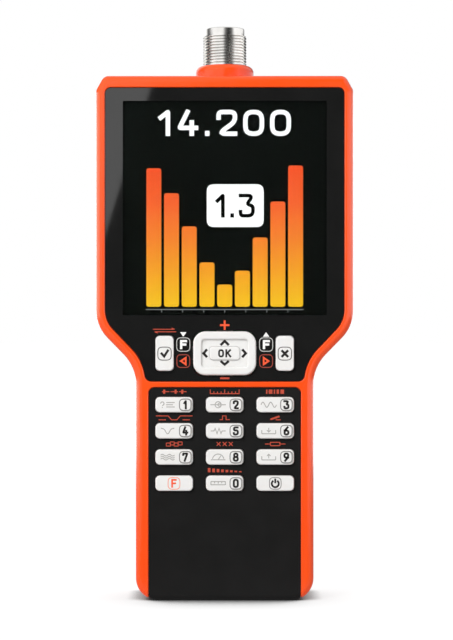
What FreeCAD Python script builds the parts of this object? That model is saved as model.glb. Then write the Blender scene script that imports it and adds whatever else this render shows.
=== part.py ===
import FreeCAD, Part
import math
import os

# Hand-held antenna analyzer: a wide head with a display, a narrower grip with a keypad,
# and a coaxial socket on top. It stands upright on its lower end. +Z runs up to the
# socket, the keys face -Y, and X is to the right as seen from the front. The origin is
# under the middle of the body. All sizes are millimetres.

Vector = FreeCAD.Vector

# Outline of the body, seen from the front
HEAD_HALF = 46.5          # half width beside the display
GRIP_HALF = 32.1          # half width beside the keys
TOP_HALF = 43.6           # half width of the flat top, inside the bevelled shoulders
BODY_TOP = 189.4
SHOULDER_Z = 184.2        # where each bevelled shoulder starts
SHOULDER_R = 2.8
NECK_LOW_Z = 84.21        # the neck slopes out between these heights
NECK_HIGH_Z = 98.95
NECK_LOW_R = 15.4
NECK_HIGH_R = 14.1
BOTTOM_CORNER_R = 8.0

# Depths, front to back
KEY_TOP = -17.0
FRAME_FRONT = -16.2       # the orange frame stands proud of the panels
PANEL_FRONT = -15.7
PANEL_BACK = -14.5
WALL_BACK = -12.5         # inner face of the front wall
BOARD_FRONT = -9.0
BOARD_BACK = -7.4
SEAM = 0.15               # each shell stops this far from the parting plane
BACK_WALL = 14.8          # inner face of the back wall
BACK = 17.0

WALL = 2.2
BOTTOM_WALL = 3.4
FRONT_EDGE_R = 2.4
BACK_EDGE_R = 2.6
LIP_R = 0.4               # soft inner edge of the frame around the panels

# Panels
UPPER_HALF = 43.03        # half width of the upper panel beside the display
UPPER_TOP = 184.9
UPPER_NECK_Z = 100.77     # its sides slope in below this height, to the waist
UPPER_NECK_R = 10.55
WAIST_HALF = 29.7
WAIST_Z = 86.86
WAIST_R = 17.5
UPPER_FOOT_HALF = 28.35   # below the waist its sides lean in a little more
UPPER_FOOT_R = 2.3
UPPER_BOTTOM = 79.15
LOWER_HALF = 27.3
LOWER_TOP = 76.8
PANEL_CORNER_R = 2.0
PANEL_GAP = 0.2           # seam between a panel and the frame
WINDOW_GAP = 0.05
PANEL_THICK = PANEL_BACK - PANEL_FRONT
WRAP_R = 2.1              # bend where the lower panel turns under the body
WRAP_END = -9.5

# Display
WINDOW_Z = 141.55
WINDOW_WIDTH = 73.4
WINDOW_HEIGHT = 77.2
MODULE_Z = 140.85
MODULE_WIDTH = 77.2
MODULE_HEIGHT = 82.7
MODULE_FRONT = -14.0
MODULE_BACK = -10.8
GLASS_BACK = -12.6
GLASS_MARGIN = 0.6        # from the glass to the module's outer edge
POCKET_MARGIN = 0.5
GASKET_OPENING = 0.5      # the gasket's opening is this much wider than the window on each side
MODULE_ROOM = 0.3         # clearance around the module in the front shell
FOOT_R = 1.5
FOOT_PLACES = [(-35.0, 104.0), (35.0, 104.0), (-35.0, 178.0), (35.0, 178.0)]

# Flat cable between the display and the board
RIBBON_HALF = 10.0
RIBBON_THICK = 0.2
RIBBON_BEND_Z = 103.5
RIBBON_BEND_R = 0.8
RIBBON_BEND_Y = -9.95
SOCKET_LOW = 112.0
SOCKET_HEIGHT = 4.0
SOCKET_MARGIN = 1.5

# Keys
KEY_WIDTH = 13.5
KEY_HEIGHT = 5.5
KEY_R = 1.6
COLUMN_PITCH = 18.2
ROW_PITCH = 9.43
FIRST_ROW_Z = 70.7
KEY_NAMES = [
    ["key_1", "key_2", "key_3"],
    ["key_4", "key_5", "key_6"],
    ["key_7", "key_8", "key_9"],
    ["key_function", "key_0", "key_power"],
]
SIDE_KEY_X = 21.65
SIDE_KEY_WIDTH = 6.55
SIDE_KEY_HEIGHT = 12.6
KEY_EDGE_R = 0.5
FLANGE_FRONT = -12.3
FLANGE_BACK = -11.5
FLANGE_LIP = 0.8          # how far a key's flange reaches behind the wall
PLUNGER_R = 1.6
PLUNGER_END = -10.4
KEY_CLEARANCE = 0.2

# Navigation pad
NAV_Z = 89.2
NAV_WIDTH = 22.7
NAV_HEIGHT = 15.8
NAV_R = 4.4
NAV_BACK = -10.9
NAV_CLEARANCE = 0.35
DISH_WIDTH = 16.4
DISH_HEIGHT = 9.8
DISH_FLOOR = -16.25
OK_WIDTH = 10.9
OK_HEIGHT = 4.8
OK_TOP = -16.9
OK_FLANGE_FRONT = -13.0
OK_FLANGE_BACK = -12.2
OK_PLUNGER_R = 1.2
OK_PLUNGER_END = -10.15
POCKET_FRONT = -13.1
SIDE_DOME_X = 8.5
UP_DOME_Z = 5.2
OK_CORNER_R = 1.2
OK_HOLE_R = 1.4
OK_FLANGE_LIP = 0.8
OK_POCKET_LIP = 1.2
DISH_R = 1.0
NAV_EDGE_R = 0.8
RIM_R = 0.73              # soft rim of the dish
TAB_THICK = 0.6           # tabs that hold the pad behind the front wall
TAB_HALF_UP = 3.0
TAB_HALF_SIDE = 2.5
NUB_R = 1.0               # nubs over the left and right domes
NUB_TALL = 0.8
BOSS_WIDTH = 5.0
BOSS_HEIGHT = 12.0
BOSS_HOLE_R = 1.7
BOSS_FRONT = -10.6
BOSS_BACK = -10.0

# Keypad mat and snap domes
DOME_BASE_R = 2.3
DOME_TOP_R = 1.4
DOME_HEIGHT = 0.5
MAT_HALF = 26.5
MAT_LOW = 36.0
MAT_HIGH = 101.0
MAT_FRONT = -10.5
MAT_BACK = -9.8
MAT_HOLE_R = 2.4
MAT_RIM = 0.8
MAT_NAV_ROOM = 1.3        # clearance around the pad in the mat's opening

# Screws and their bosses
CASE_SCREWS = [(-41.8, 178.0), (41.8, 178.0), (-41.8, 108.0), (41.8, 108.0), (-27.0, 9.0), (27.0, 9.0)]
BOARD_SCREWS = [(-41.2, 143.0), (41.2, 143.0), (-33.0, 95.0), (33.0, 95.0), (-20.0, 31.0), (20.0, 31.0)]
FRONT_BOSS_R = 2.7
REAR_BOSS_R = 3.2
INSERT_R = 1.8
INSERT_BORE_R = 1.27
INSERT_DEPTH = -6.5
SCREW_R = 1.25
SCREW_HEAD_R = 2.1
SCREW_HEAD_TALL = 1.8
SCREW_TIP = -5.5
CROSS_HALF = 0.3          # half width of a screw head's cross slot
SHANK_HOLE_R = 1.4
COUNTERBORE_R = 2.4
COUNTERBORE_FLOOR = 11.0
STANDOFF_R = 2.2
PILOT_R = 1.05            # hole that a board screw bites into
PILOT_DEPTH = -12.0
BOARD_SCREW_R = 1.0
BOARD_SCREW_HEAD_R = 2.0
BOARD_SCREW_HEAD_TALL = 1.2
BOARD_SCREW_TIP = -11.6
GASKET_OUTER = 0.5        # the case gasket lies between these distances from the outline
GASKET_INNER = 1.7

# Coaxial socket, on the axis of the body
THREAD_CREST_R = 7.94
THREAD_ROOT_R = 7.29
THREAD_PITCH = 1.058
THREAD_COUNT = 10
THREAD_START = 194.9
CREST_FLAT = 0.26
ROOT_FLAT = 0.22
LEAD_RING_R = 7.2
LEAD_RING_Z = 205.5
SOCKET_TOP = 208.4
COLLAR_R = 10.6           # raised ring of the case around the socket
COLLAR_TOP = 194.4
COLLAR_EDGE = 2.4
BARREL_R = 7.0            # plain part of the barrel, inside the collar
BARREL_BORE_R = 6.2
BARREL_LOW = 181.0
TAIL_R = 6.8
FLANGE_HALF = 12.0
FLANGE_LOW = 185.2
FLANGE_HIGH = 187.0
SOCKET_HOLE_R = 7.2
RIB_NEAR = 8.0
RIB_FAR = 10.0
RIB_TALL = 2.3
CONTACT_R = 2.75
CONTACT_BORE_R = 2.0
CONTACT_TOP = 207.2
CONTACT_DEPTH = 12.0
CONTACT_PIN_R = 1.5
CONTACT_PIN_LOW = 171.0
LEAD_R = 0.5
LEAD_Z = 164.5

# Battery bay
DOOR_HALF = 24.0
DOOR_LOW = 16.0
DOOR_HIGH = 78.0
DOOR_INNER = 15.9
DOOR_GAP = 0.15
PLUG_HALF = 22.2
PLUG_LOW = 17.8
PLUG_HIGH = 76.2
PLUG_INNER = 14.0
BAY_GAP = 0.2
TRAY_HALF = 23.4
TRAY_LOW = 16.5
TRAY_HIGH = 77.5
TRAY_WALL = 1.0
TRAY_BACK = -2.0
TRAY_FLOOR = -0.8
TRAY_RIM = 14.7
DOOR_CORNER_R = 1.9
PLUG_CORNER_R = 0.9
POCKET_SIDE = 1.5         # solid border of the door's inner pocket
POCKET_END = 6.0
GROOVE_COUNT = 5
GROOVE_Z = 64.0
GROOVE_PITCH = 2.0
GROOVE_WIDTH = 0.9
GROOVE_HALF = 8.0
GROOVE_DEPTH = 0.5
TAB_ROOM = 0.6            # clearance around the door's tabs and catch in the tray
TAB_REACH = 4.0
TAB_NEAR = 8.0
TAB_FAR = 14.0
TAB_FRONT = 13.2
TAB_DEPTH = 1.0
TAB_LOW = 16.9
CATCH_HALF = 6.0
CATCH_HIGH = 77.0
CATCH_FRONT = 14.05
CATCH_THICK = 0.6
CELL_R = 7.1
CELL_LENGTH = 49.5
CELL_NUB_R = 2.7
CELL_NUB = 1.0
CELL_PITCH = 14.6
CELL_Y = 6.35
CELL_EDGE_R = 0.5
PLATE = 0.4
PLATE_LOW = TRAY_LOW + TRAY_WALL + PLATE      # faces of the contact plates
PLATE_HIGH = TRAY_HIGH - TRAY_WALL - PLATE
PLATE_HALF = 5.8
PLATE_RISE = 5.5          # how far a plate reaches behind the cells' axes
TAIL_HALF = 1.0
TAIL_SLOT_HALF = 1.2
TAIL_SLOT = 0.6
SPRING_R = 3.4
SPRING_WIRE_R = 0.4
SPRING_TURNS = 5

# USB receptacle
USB_HALF_WIDTH = 4.47
USB_HALF_HEIGHT = 1.63
USB_SKIN = 0.3
USB_LOW = 1.5
USB_HIGH = 8.85
USB_Y = BOARD_BACK + USB_HALF_HEIGHT
USB_ROOM = 0.3
USB_BACK_WALL = 1.2
TONGUE_HALF = 3.35
TONGUE_HALF_THICK = 0.35
TONGUE_SET_BACK = 0.8

# Board, shielding can and chips
BOARD_TOP = 182.6
BOARD_LOW = 3.9
CAN_HALF = 20.0
CAN_LOW = 118.0
CAN_HIGH = 160.0
CAN_BACK = -2.4
CAN_SKIN = 0.3
CHIPS = [                 # processor, memory, display driver, key scanner, charger and regulator,
    (-17, 103, 12, 12, 1.4),        # each as x, z, width, height and thickness
    (15, 104, 9, 6, 1.1),
    (24, 112, 5, 5, 1.0),
    (-8, 50, 7, 7, 1.2),
    (10, 20, 6, 4, 1.1),
    (-27, 170, 8, 8, 1.2),
]

# Buzzer, behind its ring of sound holes
BUZZER_Z = 92.0
BUZZER_R = 6.0
BUZZER_TALL = 6.0
BUZZER_HOLE_R = 1.0
BUZZER_HOLE_DEEP = 1.2
SOUND_HOLE_R = 0.6
SOUND_RING_R = 2.6
SOUND_COUNT = 6

OVERLAP = 0.5             # how far a boss or rib runs into the wall that it grows from
FAR = 5.0                 # overshoot of a cutting tool past the face it opens


# ------------------------------------------------------------------ drawing helpers
def left_normal(start, end):
    """Unit normal to the left of a side that runs from start to end."""
    length = math.hypot(end[0] - start[0], end[1] - start[1])
    return (-(end[1] - start[1]) / length, (end[0] - start[0]) / length)


def inset(corners, gap):
    """The same outline moved inwards by gap; arcs keep their centres."""
    moved = []
    count = len(corners)
    for i in range(count):
        x, z, radius = corners[i]
        first = left_normal(corners[i - 1], corners[i])
        second = left_normal(corners[i], corners[(i + 1) % count])
        share = gap / (1 + first[0] * second[0] + first[1] * second[1])
        turns_left = first[0] * second[1] - first[1] * second[0] > 0
        new_radius = radius - gap if turns_left else radius + gap
        new_x = x + share * (first[0] + second[0])
        new_z = z + share * (first[1] + second[1])
        moved.append((new_x, new_z, max(new_radius, 0.0)))
    return moved


def mirrored(right_half):
    """A full outline from its right half, listed from the bottom up."""
    return right_half + [(-x, z, radius) for x, z, radius in reversed(right_half)]


def rounded_wire(corners, y):
    """A closed wire in the plane at depth y, with an arc at each (x, z, radius) corner."""
    edges = []
    count = len(corners)
    ends = []
    for i in range(count):
        x, z, radius = corners[i]
        corner = Vector(x, y, z)
        before = Vector(corners[i - 1][0], y, corners[i - 1][1]) - corner
        following = corners[(i + 1) % count]
        after = Vector(following[0], y, following[1]) - corner
        half_angle = before.getAngle(after) / 2
        before.normalize()
        after.normalize()
        reach = radius / math.tan(half_angle)
        start = corner + before * reach
        end = corner + after * reach
        bisector = before + after
        bisector.normalize()
        middle = corner + bisector * (radius / math.sin(half_angle) - radius)
        ends.append((start, middle, end, radius))
    for i in range(count):
        start, middle, end, radius = ends[i]
        if radius > 0:
            edges.append(Part.Arc(start, middle, end).toShape())
        next_start = ends[(i + 1) % count][0]
        if end.distanceToPoint(next_start) > 0.001:
            edges.append(Part.LineSegment(end, next_start).toShape())
    return Part.Wire(edges)


def plate(corners, y_front, y_back):
    """A flat plate with the given outline, from one depth to another."""
    face = Part.Face(rounded_wire(corners, y_front))
    return face.extrude(Vector(0, y_back - y_front, 0))


def rectangle(x, z, width, height, radius):
    """Corners of a rounded rectangle about (x, z)."""
    right = x + width / 2
    left = x - width / 2
    top = z + height / 2
    bottom = z - height / 2
    return [(left, bottom, radius), (right, bottom, radius), (right, top, radius), (left, top, radius)]


def block(x_low, x_high, y_low, y_high, z_low, z_high):
    corner = Vector(x_low, y_low, z_low)
    return Part.makeBox(x_high - x_low, y_high - y_low, z_high - z_low, corner)


def rod(x, z, radius, y_front, y_back):
    """A round rod that runs front to back."""
    return Part.makeCylinder(radius, y_back - y_front, Vector(x, y_front, z), Vector(0, 1, 0))


def post(radius, z_low, z_high, x=0.0, y=0.0):
    """A round post that runs upwards."""
    return Part.makeCylinder(radius, z_high - z_low, Vector(x, y, z_low), Vector(0, 0, 1))


def flat_slot(half_width, half_height, y, z_low, z_high):
    """An upright bar with a long rounded section, as wide as a USB plug."""
    straight = half_width - half_height
    middle = block(-straight, straight, y - half_height, y + half_height, z_low, z_high)
    ends = [post(half_height, z_low, z_high, side * straight, y) for side in (-1, 1)]
    return middle.fuse(ends).removeSplitter()


def edges_at(shape, y):
    """The edges of a shape that lie in the plane at depth y."""
    found = []
    for edge in shape.Edges:
        box = edge.BoundBox
        if abs(box.YMin - y) < 0.01 and abs(box.YMax - y) < 0.01:
            found.append(edge)
    return found


def soften(shape, radius, y):
    """Rounds every edge of a shape that lies in the plane at depth y."""
    return shape.makeFillet(radius, edges_at(shape, y))


def join(shape, pieces):
    return shape.fuse(pieces).removeSplitter()


# ------------------------------------------------------------------ shared outlines
def body_outline(gap=0.0, bottom=0.0):
    """The body's outline moved inwards by gap, and cut off below bottom."""
    right_half = [
        (GRIP_HALF, 0.0, BOTTOM_CORNER_R),
        (GRIP_HALF, NECK_LOW_Z, NECK_LOW_R),
        (HEAD_HALF, NECK_HIGH_Z, NECK_HIGH_R),
        (HEAD_HALF, SHOULDER_Z, SHOULDER_R),
        (TOP_HALF, BODY_TOP, SHOULDER_R),
    ]
    corners = inset(mirrored(right_half), gap)
    return [(x, max(z, bottom), radius) for x, z, radius in corners]


def upper_panel_outline(growth=0.0):
    """The upper panel is wide beside the display and narrow beside the navigation pad."""
    right_half = [
        (UPPER_FOOT_HALF, UPPER_BOTTOM, UPPER_FOOT_R),
        (WAIST_HALF, WAIST_Z, WAIST_R),
        (UPPER_HALF, UPPER_NECK_Z, UPPER_NECK_R),
        (UPPER_HALF, UPPER_TOP, PANEL_CORNER_R),
    ]
    return inset(mirrored(right_half), -growth)


def lower_panel_outline(growth=0.0):
    """Front of the lower panel; it runs past the bottom edge of the body."""
    right_half = [
        (LOWER_HALF, -FAR, 0.0),
        (LOWER_HALF, LOWER_TOP, PANEL_CORNER_R),
    ]
    return inset(mirrored(right_half), -growth)


def grip_block(gap, y_front, y_back, edge_r):
    """The grip's own form with a rounded front edge, moved inwards by gap."""
    corners = [
        (-GRIP_HALF, 0.0, BOTTOM_CORNER_R),
        (GRIP_HALF, 0.0, BOTTOM_CORNER_R),
        (GRIP_HALF, LOWER_TOP + FAR, 0.0),
        (-GRIP_HALF, LOWER_TOP + FAR, 0.0),
    ]
    return soften(plate(inset(corners, gap), y_front, y_back), edge_r, y_front)


def key_places():
    """Every separate key as (name, x, z, width, height)."""
    places = []
    for row, names in enumerate(KEY_NAMES):
        for column, name in enumerate(names):
            x = (column - 1) * COLUMN_PITCH
            z = FIRST_ROW_Z - row * ROW_PITCH
            places.append((name, x, z, KEY_WIDTH, KEY_HEIGHT))
    places.append(("key_confirm", -SIDE_KEY_X, NAV_Z, SIDE_KEY_WIDTH, SIDE_KEY_HEIGHT))
    places.append(("key_cancel", SIDE_KEY_X, NAV_Z, SIDE_KEY_WIDTH, SIDE_KEY_HEIGHT))
    return places


def dome_places():
    """Where the snap domes sit on the board, one under each thing that is pressed."""
    places = [(x, z) for name, x, z, width, height in key_places()]
    places.append((0.0, NAV_Z))
    places += [(0.0, NAV_Z - UP_DOME_Z), (0.0, NAV_Z + UP_DOME_Z)]
    places += [(-SIDE_DOME_X, NAV_Z), (SIDE_DOME_X, NAV_Z)]
    return places


def key_holes(y_front, y_back, with_rows=True, with_head=True):
    """Cutting tools for the keys' and the navigation pad's openings."""
    tools = []
    for name, x, z, width, height in key_places():
        in_rows = height == KEY_HEIGHT
        if (in_rows and with_rows) or (not in_rows and with_head):
            hole = rectangle(x, z, width + 2 * KEY_CLEARANCE, height + 2 * KEY_CLEARANCE, KEY_R)
            tools.append(plate(hole, y_front, y_back))
    if with_head:
        width = NAV_WIDTH + 2 * NAV_CLEARANCE
        height = NAV_HEIGHT + 2 * NAV_CLEARANCE
        tools.append(plate(rectangle(0, NAV_Z, width, height, NAV_R), y_front, y_back))
    return tools


# ------------------------------------------------------------------ case
def collar_half(y_front, y_back):
    """The part of the raised ring around the socket that belongs to one shell."""
    ring = post(COLLAR_R, BODY_TOP - 1, COLLAR_TOP)
    top_edges = [edge for edge in ring.Edges if edge.BoundBox.ZMin > COLLAR_TOP - 0.01]
    ring = ring.makeFillet(COLLAR_EDGE, top_edges)
    reach = COLLAR_R + 1
    return ring.common(block(-reach, reach, y_front, y_back, BODY_TOP - 2, COLLAR_TOP + 1))


def flange_ribs(y_front, y_back):
    """Two ribs that carry the socket's flange from below."""
    ribs = []
    for side in (-1, 1):
        near, far = sorted((side * RIB_NEAR, side * RIB_FAR))
        ribs.append(block(near, far, y_front, y_back, FLANGE_LOW - RIB_TALL, FLANGE_LOW - 0.05))
    return ribs


def front_shell():
    shell = soften(plate(body_outline(), FRAME_FRONT, -SEAM), FRONT_EDGE_R, FRAME_FRONT)
    shell = shell.cut(plate(body_outline(WALL, BOTTOM_WALL), WALL_BACK, FAR))

    # Beds for the two face panels; the bar between them stays
    upper_bed = plate(upper_panel_outline(PANEL_GAP), FRAME_FRONT - FAR, PANEL_BACK)
    lower_bed = plate(lower_panel_outline(PANEL_GAP), FRAME_FRONT - FAR, WRAP_END + PANEL_GAP)
    core = grip_block(PANEL_THICK, PANEL_BACK, 0.0, WRAP_R - PANEL_THICK)
    shell = shell.cut([upper_bed, lower_bed.cut(core)])
    inside = plate(body_outline(FRONT_EDGE_R + LIP_R), FRAME_FRONT - LIP_R, FRAME_FRONT + LIP_R)
    lip_edges = [e for e in edges_at(shell, FRAME_FRONT) if inside.isInside(e.CenterOfMass, 0.001, True)]
    shell = shell.makeFillet(LIP_R, lip_edges)

    # Bosses for the case screws and standoffs for the board
    bosses = [rod(x, z, FRONT_BOSS_R, WALL_BACK - OVERLAP, -SEAM) for x, z in CASE_SCREWS]
    bosses += [rod(x, z, STANDOFF_R, WALL_BACK - OVERLAP, BOARD_FRONT) for x, z in BOARD_SCREWS]
    bosses += flange_ribs(WALL_BACK - OVERLAP, -SEAM)
    bosses.append(collar_half(-COLLAR_R - 1, -SEAM))
    shell = join(shell, bosses)

    # Openings: display module, keys, screw inserts, socket and USB port
    width = MODULE_WIDTH + 2 * MODULE_ROOM
    height = MODULE_HEIGHT + 2 * MODULE_ROOM
    tools = [plate(rectangle(0, MODULE_Z, width, height, 1.0), PANEL_BACK - 1, WALL_BACK + 1)]
    tools += key_holes(PANEL_BACK - 1, WALL_BACK + 0.2)
    tools += [rod(x, z, INSERT_R, INSERT_DEPTH, FAR) for x, z in CASE_SCREWS]
    tools += [rod(x, z, PILOT_R, PILOT_DEPTH, BOARD_FRONT + 1) for x, z in BOARD_SCREWS]
    tools.append(post(SOCKET_HOLE_R, FLANGE_HIGH, SOCKET_TOP))
    port = flat_slot(USB_HALF_WIDTH + USB_ROOM, USB_HALF_HEIGHT + USB_ROOM, USB_Y, -FAR, BOTTOM_WALL + 1)
    tools.append(port)
    return shell.cut(tools)


def sound_holes():
    """Small holes in a ring and its centre."""
    holes = [rod(0, BUZZER_Z, SOUND_HOLE_R, BACK_WALL - 1, BACK + 1)]
    for i in range(SOUND_COUNT):
        angle = 2 * math.pi * i / SOUND_COUNT
        x = SOUND_RING_R * math.cos(angle)
        z = BUZZER_Z + SOUND_RING_R * math.sin(angle)
        holes.append(rod(x, z, SOUND_HOLE_R, BACK_WALL - 1, BACK + 1))
    return holes


def rear_shell():
    shell = soften(plate(body_outline(), SEAM, BACK), BACK_EDGE_R, BACK)
    shell = shell.cut(plate(body_outline(WALL, WALL), -FAR, BACK_WALL))
    bosses = [rod(x, z, REAR_BOSS_R, SEAM, BACK_WALL + OVERLAP) for x, z in CASE_SCREWS]
    bosses += flange_ribs(SEAM, BACK_WALL + OVERLAP)
    bosses.append(collar_half(SEAM, COLLAR_R + 1))
    shell = join(shell, bosses)

    door_z = (DOOR_LOW + DOOR_HIGH) / 2
    recess_width = 2 * (DOOR_HALF + DOOR_GAP)
    recess_height = DOOR_HIGH - DOOR_LOW + 2 * DOOR_GAP
    bay_width = 2 * (PLUG_HALF + BAY_GAP)
    bay_height = PLUG_HIGH - PLUG_LOW + 2 * BAY_GAP
    tools = [
        plate(rectangle(0, door_z, recess_width, recess_height, 2.0), DOOR_INNER - 0.05, BACK + 1),
        plate(rectangle(0, door_z, bay_width, bay_height, 1.0), BACK_WALL - 1, BACK),
    ]
    tools += [rod(x, z, SHANK_HOLE_R, -FAR, BACK) for x, z in CASE_SCREWS]
    tools += [rod(x, z, COUNTERBORE_R, COUNTERBORE_FLOOR, BACK + 1) for x, z in CASE_SCREWS]
    tools.append(post(SOCKET_HOLE_R, FLANGE_HIGH, SOCKET_TOP))
    tools += sound_holes()
    return shell.cut(tools)


def upper_face_panel():
    panel = plate(upper_panel_outline(), PANEL_FRONT, PANEL_BACK)
    width = WINDOW_WIDTH + 2 * WINDOW_GAP
    height = WINDOW_HEIGHT + 2 * WINDOW_GAP
    window = plate(rectangle(0, WINDOW_Z, width, height, 0.5), PANEL_FRONT - 1, PANEL_BACK + 1)
    return panel.cut([window] + key_holes(PANEL_FRONT - 1, PANEL_BACK + 1, with_rows=False))


def lower_face_panel():
    """One sheet that covers the keypad and turns under the bottom of the grip."""
    outer = grip_block(0.0, PANEL_FRONT, WRAP_END, WRAP_R)
    inner = grip_block(PANEL_THICK, PANEL_BACK, WRAP_END + 1, WRAP_R - PANEL_THICK)
    limits = plate(lower_panel_outline(), FRAME_FRONT - FAR, FAR)
    panel = outer.cut(inner).common(limits)
    return panel.cut(key_holes(PANEL_FRONT - 1, PANEL_BACK + 1, with_head=False))


def display_window():
    return plate(rectangle(0, WINDOW_Z, WINDOW_WIDTH, WINDOW_HEIGHT, 0.5), PANEL_FRONT, PANEL_BACK)


def case_gasket():
    """A flat rubber ring squeezed between the two shells, open at the socket."""
    outer = plate(body_outline(GASKET_OUTER), -SEAM, SEAM)
    inner = plate(body_outline(GASKET_INNER), -1, 1)
    return outer.cut([inner, post(SOCKET_HOLE_R, FLANGE_HIGH, SOCKET_TOP)])


# ------------------------------------------------------------------ display module
def lcd_frame():
    frame = plate(rectangle(0, MODULE_Z, MODULE_WIDTH, MODULE_HEIGHT, 1.0), MODULE_FRONT, MODULE_BACK)
    width = MODULE_WIDTH - 2 * POCKET_MARGIN
    height = MODULE_HEIGHT - 2 * POCKET_MARGIN
    frame = frame.cut(plate(rectangle(0, MODULE_Z, width, height, 0.6), MODULE_FRONT - 1, GLASS_BACK))
    feet = [rod(x, z, FOOT_R, MODULE_BACK, BOARD_FRONT) for x, z in FOOT_PLACES]
    return join(frame, feet)


def lcd_glass():
    width = MODULE_WIDTH - 2 * GLASS_MARGIN
    height = MODULE_HEIGHT - 2 * GLASS_MARGIN
    return plate(rectangle(0, MODULE_Z, width, height, 0.5), MODULE_FRONT, GLASS_BACK)


def lcd_gasket():
    outer = plate(rectangle(0, MODULE_Z, MODULE_WIDTH, MODULE_HEIGHT, 1.0), PANEL_BACK, MODULE_FRONT)
    width = WINDOW_WIDTH + 2 * GASKET_OPENING
    height = WINDOW_HEIGHT + 2 * GASKET_OPENING
    return outer.cut(plate(rectangle(0, WINDOW_Z, width, height, 0.5), PANEL_BACK - 1, MODULE_FRONT + 1))


def lcd_ribbon():
    """A flat cable that leaves the display's back, folds over and enters its connector."""
    bend_low = RIBBON_BEND_Z - 2 * RIBBON_BEND_R
    end = Vector(-RIBBON_HALF, RIBBON_BEND_Y, RIBBON_BEND_Z)
    across = Vector(1, 0, 0)
    ring = Part.makeCylinder(RIBBON_BEND_R, 2 * RIBBON_HALF, end, across)
    hollow = Part.makeCylinder(RIBBON_BEND_R - RIBBON_THICK, 2 * RIBBON_HALF, end, across)
    lower_half = block(-RIBBON_HALF, RIBBON_HALF, RIBBON_BEND_Y - 1, RIBBON_BEND_Y + 1,
                       bend_low, RIBBON_BEND_Z)
    bend = ring.cut(hollow).common(lower_half)
    front_y = RIBBON_BEND_Y - RIBBON_BEND_R
    back_y = RIBBON_BEND_Y + RIBBON_BEND_R
    front = block(-RIBBON_HALF, RIBBON_HALF, front_y, front_y + RIBBON_THICK, RIBBON_BEND_Z, SOCKET_LOW - 4)
    back = block(-RIBBON_HALF, RIBBON_HALF, back_y - RIBBON_THICK, back_y, RIBBON_BEND_Z, SOCKET_LOW)
    return join(bend, [front, back])


def ribbon_connector():
    half = RIBBON_HALF + SOCKET_MARGIN
    return block(-half, half, MODULE_BACK + 0.2, BOARD_FRONT, SOCKET_LOW, SOCKET_LOW + SOCKET_HEIGHT)


# ------------------------------------------------------------------ board
def main_board():
    board = plate(body_outline(WALL + 1.0, BOARD_LOW), BOARD_FRONT, BOARD_BACK)
    tools = [block(-HEAD_HALF, HEAD_HALF, -FAR * 2, 0, BOARD_TOP, BODY_TOP)]
    tools += [rod(x, z, FRONT_BOSS_R + 0.4, BOARD_FRONT - 1, BOARD_BACK + 1) for x, z in CASE_SCREWS]
    tools += [rod(x, z, SCREW_R, BOARD_FRONT - 1, BOARD_BACK + 1) for x, z in BOARD_SCREWS]
    return board.cut(tools)


def rf_shield_can():
    can = block(-CAN_HALF, CAN_HALF, BOARD_BACK, CAN_BACK, CAN_LOW, CAN_HIGH)
    inside = block(-CAN_HALF + CAN_SKIN, CAN_HALF - CAN_SKIN, BOARD_BACK - 1, CAN_BACK - CAN_SKIN,
                   CAN_LOW + CAN_SKIN, CAN_HIGH - CAN_SKIN)
    return can.cut(inside)


def board_chips():
    """The larger chips, which sit on the back of the board beside the shielding can."""
    solids = []
    for x, z, width, height, thickness in CHIPS:
        solids.append(block(x - width / 2, x + width / 2, BOARD_BACK, BOARD_BACK + thickness,
                            z - height / 2, z + height / 2))
    return Part.makeCompound(solids)


def snap_domes():
    domes = []
    for x, z in dome_places():
        foot = Vector(x, BOARD_FRONT, z)
        domes.append(Part.makeCone(DOME_BASE_R, DOME_TOP_R, DOME_HEIGHT, foot, Vector(0, -1, 0)))
    return Part.makeCompound(domes)


def keypad_mat():
    """A silicone sheet that rests on the board by its rim, with a hole under each key."""
    mid_z = (MAT_LOW + MAT_HIGH) / 2
    height = MAT_HIGH - MAT_LOW
    outline = rectangle(0, mid_z, 2 * MAT_HALF, height, 3.0)
    rim_inner = inset(outline, MAT_RIM)
    mat = plate(outline, MAT_FRONT, BOARD_FRONT)
    tools = [plate(rim_inner, MAT_BACK, BOARD_FRONT + 1)]
    for name, x, z, width, height in key_places():
        tools.append(rod(x, z, MAT_HOLE_R, MAT_FRONT - 1, MAT_BACK + 1))
    nav_hole = rectangle(0, NAV_Z, NAV_WIDTH + 2 * MAT_NAV_ROOM, NAV_HEIGHT + 2 * MAT_NAV_ROOM, 2.0)
    tools.append(plate(nav_hole, MAT_FRONT - 1, MAT_BACK + 1))
    return mat.cut(tools)


def usb_receptacle():
    outer = flat_slot(USB_HALF_WIDTH, USB_HALF_HEIGHT, USB_Y, USB_LOW, USB_HIGH)
    half_width = USB_HALF_WIDTH - USB_SKIN
    half_height = USB_HALF_HEIGHT - USB_SKIN
    inner = flat_slot(half_width, half_height, USB_Y, USB_LOW - 1, USB_HIGH - USB_BACK_WALL)
    tongue = block(-TONGUE_HALF, TONGUE_HALF, USB_Y - TONGUE_HALF_THICK, USB_Y + TONGUE_HALF_THICK,
                   USB_LOW + TONGUE_SET_BACK, USB_HIGH - USB_BACK_WALL + 0.1)
    return join(outer.cut(inner), [tongue])


def buzzer():
    back = BOARD_BACK + BUZZER_TALL
    can = rod(0, BUZZER_Z, BUZZER_R, BOARD_BACK, back)
    return can.cut(rod(0, BUZZER_Z, BUZZER_HOLE_R, back - BUZZER_HOLE_DEEP, back + 1))


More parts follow.
